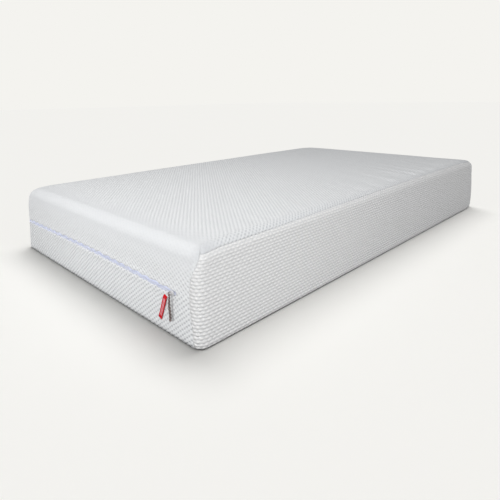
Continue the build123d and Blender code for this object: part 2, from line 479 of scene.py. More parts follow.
    def _weave(self) -> bpy.types.NodeTree:
        """Threads over and under each other: the product of a sine across and a sine along, and ribs."""
        graph, given, result = self._start(
            "weave", {"Chart": None, "Thread": 0.0008, "Rib": 0.0016}, {"Height": "NodeSocketFloat"}
        )
        across, along, _ = graph.split(given.outputs["Chart"])
        ribs = graph.maths("DIVIDE", across, given.outputs["Rib"])
        threads = graph.maths("DIVIDE", along, given.outputs["Thread"])
        x = graph.maths("SINE", graph.maths("MULTIPLY", ribs, TURN))
        y = graph.maths("SINE", graph.maths("MULTIPLY", threads, TURN))
        crossing = graph.maths("MULTIPLY", x, y)
        height = graph.maths("ADD", graph.maths("MULTIPLY", crossing, 0.35), graph.maths("MULTIPLY", x, 0.15))
        graph.feed(result.inputs["Height"], graph.maths("ADD", height, 0.5))
        return graph.tree


# ---------------------------------------------------------------- finishes


class Finish:
    """A material with its shader and its graph ready to be filled."""

    def __init__(self, name: str, roughness: float) -> None:
        """Makes the material with one shader of that roughness."""
        self.material = bpy.data.materials.new(name)
        self.material.use_nodes = True
        self.graph = Graph(self.material.node_tree)
        self.shader = self.material.node_tree.nodes["Principled BSDF"]
        self.shader.inputs["Roughness"].default_value = roughness

    def chart(self) -> bpy.types.NodeSocket:
        """The piece's own flat map, in metres."""
        return self.graph.node("ShaderNodeUVMap", uv_map="chart").outputs[0]

    def place(self) -> bpy.types.NodeSocket:
        """The point of the piece, in metres."""
        return self.graph.node("ShaderNodeTexCoord").outputs["Object"]

    def put(self, socket: str, value: object) -> None:
        """Feeds one of the shader's sockets."""
        self.graph.feed(self.shader.inputs[socket], value)


@dataclass(frozen=True)
class KnitFinish:
    """The puffed white knit of the cover.

    A pit's depth fades where the knit is pulled flat over the two ends' upper edges, and so does the painted
    shade in the pit. Painted shade also darkens the colour over those edges, by painted_edge_shade, and in a
    band next to the long seam, by painted_seam_shade.
    """

    name: str
    cell_width: float
    cell_height: float
    lean: float
    row_depth: float
    pit_sharpness: float
    pit_depth: float
    painted_pit_shade: float
    light: Colour = (0.80, 0.81, 0.815, 1)
    # The tone that the painted shade and the uneven tone mix towards.
    dark: Colour = (0.42, 0.43, 0.45, 1)
    edge: tuple[float, float] = (0.988, 0.262)
    flattest: float = 0.012
    pulled: float = 0.115
    taut: float = 0.12
    painted_edge_shade: float = 0.36
    painted_seam_shade: float = 0.0
    # seam_across and seam_up place the band of painted shade next to the long seam.
    seam_across: tuple[float, float] = (0.555, 0.588)
    seam_up: tuple[float, float] = (0.22, 0.25)

    def slack(self, finish: Finish) -> bpy.types.NodeSocket:
        """How deep the pits stay: less over the upper edges of the two ends, where the knit is pulled flat.

        It depends on the distance from the line (y, z) = edge, with the sign of y left out.
        """
        graph = finish.graph
        _, along, up = graph.split(finish.place())
        from_end = graph.maths("SUBTRACT", graph.maths("ABSOLUTE", along), self.edge[0])
        from_top = graph.maths("SUBTRACT", up, self.edge[1])
        squares = graph.maths(
            "ADD", graph.maths("MULTIPLY", from_end, from_end), graph.maths("MULTIPLY", from_top, from_top))
        return graph.spread(graph.maths("SQRT", squares), self.flattest, self.pulled, self.taut, 1.0)

    def material(self, effects: Effects) -> bpy.types.Material:
        """The knit as a material: lattice, loops, pit shade and a little unevenness."""
        finish = Finish(self.name, 0.88)
        graph = finish.graph
        chart = finish.chart()
        cells = graph.group(
            effects.knit_cells, Chart=chart, Cell_Width=self.cell_width, Cell_Height=self.cell_height,
            Lean=self.lean, Row_Depth=self.row_depth, Pit_Sharpness=self.pit_sharpness,
        )
        loops = graph.group(effects.yarn_loops, Chart=chart)
        uneven = graph.group(effects.uneven, Place=finish.place(), Broad=3.0, Small=55.0)
        slack = self.slack(finish)
        pits = graph.maths("MULTIPLY", cells.outputs["Pits"], slack)
        # Painted shade: the colour darkens over the ends' upper edges, where the knit is pulled flat.
        painted_edge_darkening = graph.maths("MULTIPLY", graph.maths("SUBTRACT", 1.0, slack), self.painted_edge_shade)
        # Painted shade in the pits, which fades with their depth.
        shade = graph.maths("MULTIPLY_ADD", pits, self.painted_pit_shade, painted_edge_darkening)
        # Painted shade in a band on the top next to the long seam.
        if self.painted_seam_shade:
            across, _, up = graph.split(finish.place())
            near = graph.spread(across, *self.seam_across, 0.0, 1.0)
            painted_seam_shade_mask = graph.maths("MULTIPLY", near, graph.spread(up, *self.seam_up, 0.0, 1.0))
            shade = graph.maths("MULTIPLY_ADD", painted_seam_shade_mask, self.painted_seam_shade, shade)
        # The knit's own uneven tone, plus the painted shade.
        uneven_and_painted_shade = graph.maths("MULTIPLY_ADD", uneven.outputs[0], 0.03, shade, clamp=True)
        finish.put("Base Color", graph.mixed(uneven_and_painted_shade, self.light, self.dark))
        finish.put("Sheen Weight", 0.12)
        finish.put("Specular IOR Level", 0.25)
        coarse = graph.bump(graph.maths("SUBTRACT", 1.0, pits), self.pit_depth)
        finish.put("Normal", graph.bump(loops.outputs["Height"], 0.00012, coarse))
        return finish.material


@dataclass(frozen=True)
class FoamFinish:
    """Open-celled foam: a plain tint with pores and the long marks of the slicing blade."""

    name: str
    tint: Colour
    shade: Colour
    pore_scale: float

    def material(self, effects: Effects) -> bpy.types.Material:
        """The foam as a material."""
        finish = Finish(self.name, 0.95)
        graph = finish.graph
        place = finish.place()
        pores = graph.node("ShaderNodeTexVoronoi", feature="F1")
        graph.feed(pores.inputs["Vector"], place)
        graph.feed(pores.inputs["Scale"], self.pore_scale)
        holes = graph.spread(pores.outputs["Distance"], 0.0, 0.45, 1.0, 0.0)
        uneven = graph.group(effects.uneven, Place=place, Broad=4.0, Small=90.0)
        # Painted shade in the pores: the colour darkens towards shade inside them; uneven adds the foam's own
        # blotches.
        pores = graph.maths("MULTIPLY", holes, 0.45)
        share = graph.maths("MULTIPLY_ADD", uneven.outputs[0], 0.08, pores, clamp=True)
        finish.put("Base Color", graph.mixed(share, self.tint, self.shade))
        blade = graph.noise(graph.vector("MULTIPLY", place, (1.0, 9.0, 60.0)), 3.0, 2.0)
        first = graph.bump(blade.outputs[0], 0.0012)
        finish.put("Normal", graph.bump(graph.maths("SUBTRACT", 1.0, holes), 0.0004, first))
        return finish.material


@dataclass(frozen=True)
class TapeFinish:
    """Woven polyester tape, with ribs along it."""

    name: str
    light: Colour
    dark: Colour

    def material(self, effects: Effects) -> bpy.types.Material:
        """The tape as a material."""
        finish = Finish(self.name, 0.6)
        graph = finish.graph
        threads = graph.group(effects.weave, Chart=finish.chart(), Thread=0.0007, Rib=0.0014)
        uneven = graph.group(effects.uneven, Place=finish.place(), Broad=8.0, Small=120.0)
        under = graph.maths("SUBTRACT", 1.0, threads.outputs["Height"])
        # Painted shade in the dips of the weave; uneven adds the tape's own blotches.
        painted_hollow_shade = graph.maths("MULTIPLY", under, 0.4)
        share = graph.maths("MULTIPLY_ADD", uneven.outputs[0], 0.06, painted_hollow_shade, clamp=True)
        finish.put("Base Color", graph.mixed(share, self.light, self.dark))
        finish.put("Normal", graph.bump(threads.outputs["Height"], 0.0002))
        return finish.material


@dataclass(frozen=True)
class CoilFinish:
    """The zip's nylon wire: a smooth plastic, faintly clouded."""

    name: str
    light: Colour
    dark: Colour

    def material(self, effects: Effects) -> bpy.types.Material:
        """The nylon as a material."""
        finish = Finish(self.name, 0.38)
        graph = finish.graph
        uneven = graph.group(effects.uneven, Place=finish.place(), Broad=20.0, Small=300.0)
        share = graph.spread(uneven.outputs[0], -1.0, 1.0, 0.0, 1.0)
        finish.put("Base Color", graph.mixed(share, self.light, self.dark))
        finish.put("Roughness", graph.spread(uneven.outputs[0], -1.0, 1.0, 0.3, 0.46))
        return finish.material


@dataclass(frozen=True)
class MetalFinish:
    """Plated die-cast metal, with fine scratches and duller patches."""

    name: str
    light: Colour
    dark: Colour
    plated: float = 0.6

    def material(self, effects: Effects) -> bpy.types.Material:
        """The metal as a material."""
        finish = Finish(self.name, 0.28)
        graph = finish.graph
        place = finish.place()
        uneven = graph.group(effects.uneven, Place=place, Broad=150.0, Small=900.0)
        share = graph.spread(uneven.outputs[0], -1.0, 1.0, 0.0, 1.0)
        finish.put("Base Color", graph.mixed(share, self.light, self.dark))
        finish.put("Metallic", self.plated)
        finish.put("Roughness", graph.spread(uneven.outputs[0], -1.0, 1.0, 0.18, 0.4))
        scratches = graph.noise(graph.vector("MULTIPLY", place, (300.0, 300.0, 4000.0)), 1.0, 3.0)
        finish.put("Normal", graph.bump(scratches.outputs[0], 0.00003))
        return finish.material


@dataclass(frozen=True)
class YarnFinish:
    """Spun yarn: fine fibres that lean round the strand, in two tints."""

    name: str
    light: Colour
    dark: Colour
    fibre: float = 0.0006
    painted_groove_reach: float = 9.0

    def material(self) -> bpy.types.Material:
        """The yarn as a material."""
        finish = Finish(self.name, 0.85)
        graph = finish.graph
        along, around, _ = graph.split(finish.chart())
        slanted = graph.maths("ADD", graph.maths("MULTIPLY", along, 0.8), around)
        lines = graph.maths("SINE", graph.maths("MULTIPLY", graph.maths("DIVIDE", slanted, self.fibre), TURN))
        height = graph.maths("MULTIPLY_ADD", lines, 0.5, 0.5)
        fuzz = graph.noise(finish.place(), 900.0, 3.0)
        # Painted shade: the colour is lighter on the fibres' crests and darker between them; the fuzz is the
        # yarn's own uneven tone.
        raised = graph.maths("MULTIPLY", height, -0.35)
        plain = graph.maths("MULTIPLY_ADD", fuzz.outputs[0], 0.9, raised, clamp=True)
        # Painted shade in the grooves between the cord's strands, darker on each strand's sides that face its
        # neighbours.
        deep = graph.spread(around, self.painted_groove_reach * 0.5, self.painted_groove_reach, 0.0, 0.9)
        share = graph.maths("MAXIMUM", plain, deep)
        finish.put("Base Color", graph.mixed(share, self.light, self.dark))
        finish.put("Sheen Weight", 0.08)
        finish.put("Normal", graph.bump(height, 0.00015))
        return finish.material


@dataclass(frozen=True)
class RibbonFinish:
    """Woven satin ribbon with a coloured edge and two lighter lines down its middle."""

    name: str
    width: float
    edge: Colour = (0.62, 0.003, 0.010, 1)
    line: Colour = (0.92, 0.56, 0.62, 1)

    def material(self, effects: Effects) -> bpy.types.Material:
        """The ribbon as a material."""
        finish = Finish(self.name, 0.55)
        graph = finish.graph
        chart = finish.chart()
        across, along, _ = graph.split(chart)
        from_middle = graph.maths("ABSOLUTE", graph.maths("DIVIDE", across, self.width / 2))
        near = graph.maths("ABSOLUTE", graph.maths("SUBTRACT", from_middle, 0.30))
        begins = graph.spread(along, 0.007, 0.012, 0.0, 1.0)
        ends = graph.maths("MULTIPLY", begins, graph.spread(along, 0.064, 0.070, 1.0, 0.0))
        lines = graph.maths("MULTIPLY", graph.spread(near, 0.08, 0.20, 1.0, 0.0), ends)
        threads = graph.group(effects.weave, Chart=chart, Thread=0.0009, Rib=0.0009)
        ground = graph.mixed(graph.maths("MULTIPLY", lines, 0.85), self.edge, self.line)
        # Painted shade in the dips of the weave, towards a darker red.
        shade = graph.maths("MULTIPLY", graph.maths("SUBTRACT", 1.0, threads.outputs["Height"]), 0.16)
        finish.put("Base Color", graph.mixed(shade, ground, (0.30, 0.002, 0.006, 1)))
        finish.put("Specular IOR Level", 0.15)
        finish.put("Normal", graph.bump(threads.outputs["Height"], 0.00025))
        return finish.material


class Palette:
    """Every finish of the mattress, made once."""

    def __init__(self, effects: Effects) -> None:
        """Makes the materials."""
        top = KnitFinish(
            "knit_top", cell_width=18.4 * MM, cell_height=14.6 * MM, lean=0.12, row_depth=0.0,
            pit_sharpness=2.6, pit_depth=1.8 * MM, painted_pit_shade=0.47, painted_seam_shade=0.30,
        )
        border = KnitFinish(
            "knit_border", cell_width=18.4 * MM, cell_height=14.6 * MM, lean=-0.10, row_depth=0.0,
            pit_sharpness=2.4, pit_depth=2.2 * MM, painted_pit_shade=0.60,
        )
        panel = KnitFinish(
            "knit_side_panel", cell_width=16.5 * MM, cell_height=19.1 * MM, lean=0.0, row_depth=0.42,
            pit_sharpness=1.35, pit_depth=3.1 * MM, painted_pit_shade=0.57, light=(0.81, 0.806, 0.798, 1),
            taut=0.75, painted_edge_shade=0.4,
        )
        under = KnitFinish(
            "knit_underside", cell_width=6 * MM, cell_height=6 * MM, lean=0.0, row_depth=0.0,
            pit_sharpness=3.0, pit_depth=0.6 * MM, painted_pit_shade=0.35,
        )
        self.knit_top = top.material(effects)
        self.knit_border = border.material(effects)
        self.knit_side_panel = panel.material(effects)
        self.knit_underside = under.material(effects)
        cream, blue, grey = (
            FoamFinish("memory_foam", (0.86, 0.80, 0.66, 1), (0.66, 0.58, 0.42, 1), 420.0),
            FoamFinish("transition_foam", (0.62, 0.74, 0.80, 1), (0.42, 0.55, 0.62, 1), 330.0),
            FoamFinish("support_foam", (0.84, 0.84, 0.82, 1), (0.62, 0.62, 0.60, 1), 300.0),
        )
        self.memory_foam = cream.material(effects)
        self.transition_foam = blue.material(effects)
        self.support_foam = grey.material(effects)
        self.tape = TapeFinish("zip_tape", (0.79, 0.82, 0.95, 1), (0.55, 0.60, 0.82, 1)).material(effects)
        self.coil = CoilFinish("zip_coil", (0.87, 0.89, 0.99, 1), (0.74, 0.78, 0.94, 1)).material(effects)
        metal = MetalFinish("slider_metal", (0.95, 0.95, 0.96, 1), (0.78, 0.78, 0.81, 1))
        self.metal = metal.material(effects)
        tints = ((0.31, 0.25, 0.235, 1), (0.055, 0.038, 0.035, 1))
        self.cord = YarnFinish("cord_yarn", *tints, painted_groove_reach=2.6 * MM).material()
        self.knot = YarnFinish("knot_yarn", *tints).material()
        thread = YarnFinish("stitch_thread", (0.82, 0.82, 0.84, 1), (0.74, 0.74, 0.77, 1), 0.0003)
        self.thread = thread.material()
        self.ribbon = RibbonFinish("ribbon_red", 0.015).material(effects)


def dress(obj: bpy.types.Object, material: bpy.types.Material) -> None:
    """Gives the whole object one material.

    Args:
        obj: the piece, or a node of the frame.
        material: what it is dressed in.
    """
    obj.data.materials.clear()
    obj.data.materials.append(material)


def stand_in(obj: bpy.types.Object, node: str, material: bpy.types.Material,
             body: str | None = None) -> None:
    """Dresses a new piece and lets it stand for a node of the frame.

    Args:
        obj: the piece.
        node: the node that it replaces.
        material: what it is dressed in.
        body: the body it rides on, or none, where it is attached to no body.
    """
    dress(obj, material)
    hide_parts(node)
    if body is not None:
        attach(obj, body)


# ---------------------------------------------------------------- the mattress's outline


@dataclass(frozen=True)
class Outline:
    """The plan outline of the mattress: a rectangle with rounded corners.

    A place on it is a walk in metres along the wall, against the clock as seen from above,
    from where the wall starts to turn at the near +X corner. Moved inwards, the corners
    tighten evenly until the inset edge_inset, where their radius is edge_corner.
    """

    half_width: float
    half_length: float
    corner: float
    edge_inset: float
    edge_corner: float

    @property
    def arc(self) -> float:
        """The wall's length round one corner."""
        return self.corner * math.pi / 2

    @property
    def long_run(self) -> float:
        """The straight length of a long side."""
        return 2 * (self.half_length - self.corner)

    @property
    def short_run(self) -> float:
        """The straight length of an end."""
        return 2 * (self.half_width - self.corner)

    @property
    def all_round(self) -> float:
        """The whole way round."""
        return 4 * self.arc + 2 * self.long_run + 2 * self.short_run

    def radius(self, inset: np.ndarray | float) -> np.ndarray:
        """The corners' radius at an inset."""
        share = np.clip(np.asarray(inset, float) / self.edge_inset, 0, 1)
        return self.corner + (self.edge_corner - self.corner) * share

    def place(self, walk: np.ndarray, inset: np.ndarray) -> tuple[np.ndarray, np.ndarray]:
        """Points at a walk and an inset, with the outward direction at each.

        Each corner is its centre + radius (cos a, sin a), and on a straight run the centre
        goes evenly to the next corner's while the angle a stands still.

        Args:
            walk: distances along the wall.
            inset: how far inside the wall each point is.

        Returns:
            The points' x and y, and the outward directions.
        """
        runs = np.array([self.arc, self.long_run, self.arc, self.short_run] * 2)
        starts = np.concatenate([[0.0], np.cumsum(runs)])
        walk, inset = np.broadcast_arrays(walk, inset)
        around = np.mod(walk, self.all_round)
        part = np.clip(np.searchsorted(starts, around, side="right") - 1, 0, 7)
        along = around - starts[part]
        quarter, turning = part // 2, part % 2 == 0
        radius = self.radius(inset)
        signs = np.array([[1, -1], [1, 1], [-1, 1], [-1, -1]])
        reach = np.stack([self.half_width - inset - radius, self.half_length - inset - radius], axis=-1)
        share = np.where(turning, 0.0, along / runs[part])[..., None]
        centres = reach * (signs[quarter] * (1 - share) + signs[(quarter + 1) % 4] * share)
        angle = (quarter - 1) * math.pi / 2 + np.where(turning, along / self.corner, math.pi / 2)
        outward = np.stack([np.cos(angle), np.sin(angle)], axis=-1)
        return centres + radius[..., None] * outward, outward


@dataclass(frozen=True)
class Lines:
    """The grid lines that a flat face and the walls round it share, so that they meet point to point."""

    outline: Outline
    inset: float
    across: int
    along: int
    corner_steps: int = 6

    def _line(self, half: float, count: int) -> np.ndarray:
        """Places across one direction of the flat face: small steps in both corners, even steps between."""
        round_part = float(self.outline.radius(self.inset))
        inner = np.linspace(-(half - round_part), half - round_part, count + 1)
        steps = round_part * np.arange(1, self.corner_steps + 1) / self.corner_steps
        return np.concatenate([inner[0] - steps[::-1], inner, inner[-1] + steps])

    def flat(self) -> np.ndarray:
        """The flat face's x and y, as a grid whose corners are bent onto quarter rounds.

        In a corner's square a point at (p, q) from the round's centre keeps its direction and
        moves to the distance max(p, q).

        Returns:
            The grid, rows along y and columns along x.
        """
        half_x = self.outline.half_width - self.inset
        half_y = self.outline.half_length - self.inset
        round_part = float(self.outline.radius(self.inset))
        x, y = np.meshgrid(self._line(half_x, self.across), self._line(half_y, self.along))
        p = np.abs(x) - (half_x - round_part)
        q = np.abs(y) - (half_y - round_part)
        inside = (p > 1e-9) & (q > 1e-9)
        pull = np.where(inside, np.maximum(p, q) / np.maximum(np.hypot(p, q), 1e-12), 1.0)
        x = np.where(inside, np.sign(x) * (half_x - round_part + p * pull), x)
        y = np.where(inside, np.sign(y) * (half_y - round_part + q * pull), y)
        return np.stack([x, y], axis=-1)

    def walk(self) -> np.ndarray:
        """The walks of the flat face's edge points, all the way round, closed by the first one."""
        steps = np.arange(self.corner_steps + 1) / self.corner_steps
        half_turn = np.arctan(steps)
        turn = np.concatenate([half_turn, math.pi / 2 - half_turn[-2::-1]]) * self.outline.corner
        pieces, start = [], 0.0
        for count, run in ((self.along, self.outline.long_run), (self.across, self.outline.short_run)) * 2:
            pieces.append(start + turn)
            start += self.outline.arc
            pieces.append(start + np.linspace(0, run, count + 1)[1:-1])
            start += run
        return np.concatenate(pieces + [np.array([start])])


class Cloth(Enum):
    """Which of the cover's cloths a wall belongs to."""

    ENDS_AND_FAR_SIDE = "ends and far side"
    SIDE_PANEL = "side panel"


@dataclass
class Cover:
    """The knitted cover: its top cloth, side panel, lower border and underside.

    Every cloth lies on the same rounded block. Seams and zip are then drawn in, and the
    walls lean in a little towards them.
    """

    outline: Outline
    height: float
    top_round: float = 35 * MM
    base_round: float = 6 * MM
    foot_height: float = 1.0 * MM
    hem_tuck: float = 3.5 * MM
    cloth: float = 3.2 * MM
    zip_height: float = 125 * MM
    lip: float = 4.1 * MM
    zip_end: float = 67 * MM
    seam_swing: float = 55 * MM
    pull_in: float = 2.2 * MM
    crown: float = 6.0 * MM
    seam_depth: float = 1.3 * MM
    ripple: float = 1.7 * MM
    ripple_length: float = 47 * MM
    edge_ease: float = 8.0 * MM
    edge_reach: float = 50 * MM
    edge_steps: int = 9
    lines: Lines = field(init=False)

    def __post_init__(self) -> None:
        """Lays out the grid lines."""
        self.lines = Lines(self.outline, self.top_round, 110, 190)

    # ---- the lines that the seams and the zip follow

    def near_corner(self, walk: np.ndarray) -> np.ndarray:
        """The walk measured from the nearer of the two +X corners, rising towards the +X side."""
        outline = self.outline
        far_corner = 2 * outline.arc + outline.long_run
        offset = (outline.all_round - far_corner) / 2
        around = np.mod(walk + offset, outline.all_round) - offset
        return np.where(around > far_corner / 2, far_corner - around, around)

    def edge_seam(self, walk: np.ndarray) -> np.ndarray:
        """How far down the cloth from the flat top the long edge's seam lies.

        It is low on the rounded edge at the near corner and rises to the middle of it.
        """
        outline = self.outline
        along = np.mod(walk - outline.arc / 2 + 0.01, outline.all_round) - 0.01
        angle = 34 + 26 * smooth(along / 1.5) - 10 * smooth((along - 1.8) / 0.2)
        return self.top_round * np.radians(90 - angle)

    def seam_walk(self, z: np.ndarray) -> np.ndarray:
        """The upright seam's place at a height: half way round the corner on top, then on the end."""
        middle, low, high = -0.010, 0.001, self.outline.arc / 2
        down = middle + (low - middle) * smooth((0.13 - z) / 0.122)
        up = middle + (high - middle) * smooth((z - 0.13) / 0.124) ** 1.6
        return np.where(z < 0.13, down, up)

    def lean_to_seam(self, walk: np.ndarray, z: np.ndarray) -> np.ndarray:
        """Walks moved so that the middle of each +X corner lies on the upright seam.

        Between the seam and a point on each side of it the walk is stretched evenly.

        Args:
            walk: the even walks.
            z: the height of each.

        Returns:
            The moved walks.
        """
        middle = self.outline.arc / 2
        before, after = -self.seam_swing, self.outline.arc + self.seam_swing
        seam = self.seam_walk(z)
        near = self.near_corner(walk)
        first = before + (near - before) * (seam - before) / (middle - before)
        second = after - (after - near) * (after - seam) / (after - middle)
        moved = np.where(near < middle, first, second)
        shift = np.where((near > before) & (near < after), moved - near, 0.0)
        far_corner = 2 * self.outline.arc + self.outline.long_run
        around = np.mod(walk, self.outline.all_round)
        mirrored = (around > far_corner / 2) & (around < far_corner + 2 * self.seam_swing)
        return walk + np.where(mirrored, -shift, shift)

    def zip_run(self, walk: np.ndarray) -> np.ndarray:
        """The distance along the zip from the nearer of its two ends."""
        return np.maximum(-self.zip_end - self.near_corner(walk), 0.0)

    def zip_rise(self, walk: np.ndarray) -> np.ndarray:
        """How far the zip's line stands above its even height: a slow sag and short ripples."""
        run = self.zip_run(walk)
        ease = 1 - np.exp(-run / 0.05)
        turns = TURN * (run / self.ripple_length + 0.22 * drift(run, 0.31, 1.0))
        ripple = np.sin(turns) + 0.38 * np.sin(2 * turns + 0.9)
        sag = 4.5 * np.sin(TURN * run / 1.5 - 0.35) - 0.5
        return ease * (sag * MM + self.ripple * ripple * (0.8 + 0.3 * drift(run, 0.23, 2.0)))

    def zip_open(self, walk: np.ndarray) -> np.ndarray:
        """1 along the zip, and 0 past its two ends, where the borders are sewn to each other."""
        return smooth((-self.zip_end - self.near_corner(walk) + 0.004) / 0.012)

    # ---- the surfaces

    def ease_edges(self, points: np.ndarray) -> np.ndarray:
        """Moves the upper edges of the ends and the -X side in and down, so that they are rounder.

        A point moves at 45 degrees, by edge_ease times a bell curve of its distance from the
        line half way round the edge's quarter turn.
        """
        back = self.top_round * (1 - math.sqrt(0.5))
        moved = points.copy()
        outline = self.outline
        edges = (
            (1, -1, outline.half_length, 1.0),
            (1, 1, outline.half_length, 0.55),
            (0, -1, outline.half_width, 1.0),
        )
        for axis, sign, reach, share in edges:
            away = np.hypot(sign * points[..., axis] - (reach - back), points[..., 2] - (self.height - back))
            bell = share * self.edge_ease * math.sqrt(0.5) * np.exp(-((away / self.edge_reach) ** 2))
            moved[..., axis] -= sign * bell
            moved[..., 2] -= bell
        return moved

    def settle(self, points: np.ndarray) -> np.ndarray:
        """The top's crown, its slow unevenness, and the puckers that run in from the seam.

        The crown falls with the fourth power of the distance across times that along. The
        puckers are a sine along the seam, which slants and wanders, fades away from the seam
        and is stronger at the far end.

        Args:
            points: the cloth on the plain block.

        Returns:
            The same points with their heights changed, more the nearer they are to the top.
        """
        x, y, z = points[..., 0], points[..., 1], points[..., 2]
        share = smooth((z - (self.height - self.top_round)) / self.top_round)
        wide, long = self.outline.half_width, self.outline.half_length
        crown = self.crown * (1 - (x / wide) ** 4) * (1 - (y / long) ** 4)
        slow = 0.7 * MM * drift(x + 0.4 * y, 0.9, 0.6) + 0.6 * MM * drift(y - 0.3 * x, 0.7, 2.4)
        from_seam = np.maximum(wide - self.top_round - x, 0.0)
        strength = (0.30 + 1.5 * smooth((y + 0.35) / 0.9)) * np.exp(-from_seam / 0.13)
        strength = strength * smooth((from_seam + 0.01) / 0.03) * smooth((long - np.abs(y)) / 0.12)
        turns = TURN * ((y - 0.35 * from_seam) / 0.105 + 0.45 * drift(y, 0.5, 1.9))
        pucker = 2.5 * MM * strength * (np.sin(turns) + 0.4 * np.sin(1.9 * turns + 1.0))
        raised = self.ease_edges(points)
        raised[..., 2] += share * (crown + slow * 0.8 + pucker)
        return raised

    def seam_dip(self, distance: np.ndarray) -> np.ndarray:
        """How far a cloth is drawn in at a distance from a seam."""
        return self.seam_depth * np.exp(-np.abs(distance) / (5.0 * MM))

    def wall(self, walk: np.ndarray, down: np.ndarray, cloth: Cloth) -> tuple[np.ndarray, np.ndarray]:
        """The plain wall from the top's edge to a distance down the cloth.

        The first quarter turn of top_round goes over the rounded edge, and the rest is
        upright. The wall is drawn in along its own normal at the seams, leans in towards the
        zip and the floor, and is gathered into small pleats at the foot of the +X corners.

        Args:
            walk: the columns' walks.
            down: distances down the cloth from the edge of the flat top, one for each row or
                one for each point.
            cloth: which cloth the wall is.

        Returns:
            The grid of points, and the grid of walks after the lean to the seam.
        """
        down = down[:, None] if down.ndim == 1 else down
        down, walk = np.broadcast_arrays(down, walk[None])
        turn = np.clip(down / self.top_round, 0, math.pi / 2)
        inset = self.top_round * (1 - np.sin(turn))
        past_round = np.maximum(down - self.top_round * math.pi / 2, 0)
        heights = self.height - self.top_round * (1 - np.cos(turn)) - past_round
        foot = np.clip((self.base_round - heights) / self.base_round, 0, 1)
        inset = inset + self.base_round * (1 - np.sqrt(1 - foot**2))
        walks = self.lean_to_seam(walk, heights)
        plan, outward = self.outline.place(walks, inset)
        near, arc = self.near_corner(walks), self.outline.arc
        seam = self.edge_seam(walks)
        below_edge_seam = smooth((down - seam.min()) / 0.012)
        drawn = self.seam_dip(near - self.seam_walk(heights)) * below_edge_seam
        if cloth is Cloth.SIDE_PANEL:
            drawn = drawn + self.seam_dip(down - seam) * smooth(down / 0.01)
        else:
            to_zip = np.abs(heights - self.zip_height) / 0.05
            drawn = drawn + self.pull_in * np.exp(-(to_zip**2)) * self.zip_open(walks)
        floor = np.exp(-np.maximum(heights - self.base_round, 0) / 0.018)
        corner = smooth((near + 0.004) / 0.01) * smooth((arc - near + 0.004) / 0.01)
        drawn = drawn + 0.8 * MM * floor
        drawn = drawn + 0.9 * MM * (1 + np.sin(TURN * near / 0.0075)) * floor * corner
        plump = np.exp(-(((near - arc / 2) / 0.05) ** 2)) * smooth(plan[..., 1] / 0.5)
        drawn = drawn + 9 * MM * plump * np.exp(-np.maximum(heights - self.base_round, 0) / 0.028)
        slow = 0.8 * MM * (drift(walks, 0.8, 0.9) + drift(walks + 2.1 * heights, 0.37, 2.2) * 0.5)
        shown = smooth((self.height - heights) / self.top_round) * smooth((heights - self.base_round) / 0.04)
        drawn = drawn - np.minimum(slow, 0.0) * shown
        flat = np.sin(turn) * drawn
        rise = heights - np.cos(turn) * drawn
        return np.concatenate([plan - outward * flat[..., None], rise[..., None]], axis=-1), walks

    def lipped(self, points: np.ndarray, walks: np.ndarray, rows: np.ndarray, up: float) -> np.ndarray:
        """A wall whose edge is rolled in along the zip.

        Near the edge the rows follow the zip's line, and the last 6 mm curl in as a parabola
        behind a low welt. Past the zip's ends the edge is flat and meets the other border.

        Args:
            points: the wall.
            walks: its walks.
            rows: each row's distance from the edge.
            up: 1 for the border over the zip, and -1 for the one under it.

        Returns:
            The wall with its lip.
        """
        opened = self.zip_open(walks)
        away = rows[:, None]
        ease = np.clip(1 - away / 0.1, 0, 1) ** 2
        run = self.zip_run(walks)
        turns = TURN * (run / self.ripple_length + 0.22 * drift(run, 0.31, 1.0))
        breath = 2.0 * MM * np.sin(turns + 1.3 * up)
        lifted = self.zip_rise(walks) + up * (self.lip + opened * breath) * opened
        curl = 3.4 * MM * np.clip(1 - away / 0.006, 0, 1) ** 2
        welt = (0.8 * MM + 0.5 * MM * np.sin(turns)) * np.exp(-(((away - 0.010) / 0.006) ** 2))
        _, outward = self.outline.place(walks, np.zeros_like(walks))
        moved = points.copy()
        moved[..., :2] += outward * (opened * (welt - curl))[..., None]
        moved[..., 2] += lifted * ease
        return moved

    def _rows_to_lip(self, length: float) -> np.ndarray:
        """Row distances from a lip: close together near it, then wider."""
        close = np.array([0, 1, 2, 3, 4, 5, 6, 8, 10, 12, 15, 19, 24, 30]) * MM
        far = np.linspace(0.030, length, max(2, int(round((length - 0.030) / 0.009)) + 1))[1:]
        return np.concatenate([close, far])

    def _walk_between(self, cloth: Cloth) -> np.ndarray:
        """The walks of one cloth's columns."""
        walk, steps = self.lines.walk(), self.lines.corner_steps
        last = 3 * steps + self.lines.along
        if cloth is Cloth.SIDE_PANEL:
            return walk[steps:last + 1]
        return np.concatenate([walk[last:], walk[1:steps + 1] + self.outline.all_round])

    def _charted(self, points: np.ndarray, walks: np.ndarray, down: np.ndarray, side: str) -> Patch:
        """One side's wall with its map, which goes on from the top's own map over the edge.

        Along the straight run the map has the top's own width, and round the corners it goes
        on at the wall's length.
        """
        outline = self.outline
        edge_x, edge_y = outline.half_width - self.top_round, outline.half_length - self.top_round
        start, run, reach = {
            "near end": (
                outline.all_round - outline.short_run, outline.short_run, edge_x - outline.edge_corner),
            "far end": (2 * outline.arc + outline.long_run, outline.short_run, edge_x - outline.edge_corner),
            "far side": (
                3 * outline.arc + outline.long_run + outline.short_run, outline.long_run,
                edge_y - outline.edge_corner),
            "near side": (outline.arc, outline.long_run, edge_y - outline.edge_corner),
        }[side]
        local = walks - start
        held = np.clip(local, 0, run)
        along = reach * (2 * held / run - 1) + (local - held)
        chart = {
            "near end": (along, -edge_y - down),
            "far end": (-along, edge_y + down),
            "far side": (-edge_x - down, -along),
            "near side": (edge_x + down, along),
        }[side]
        return Patch(points, np.stack(chart, axis=-1))

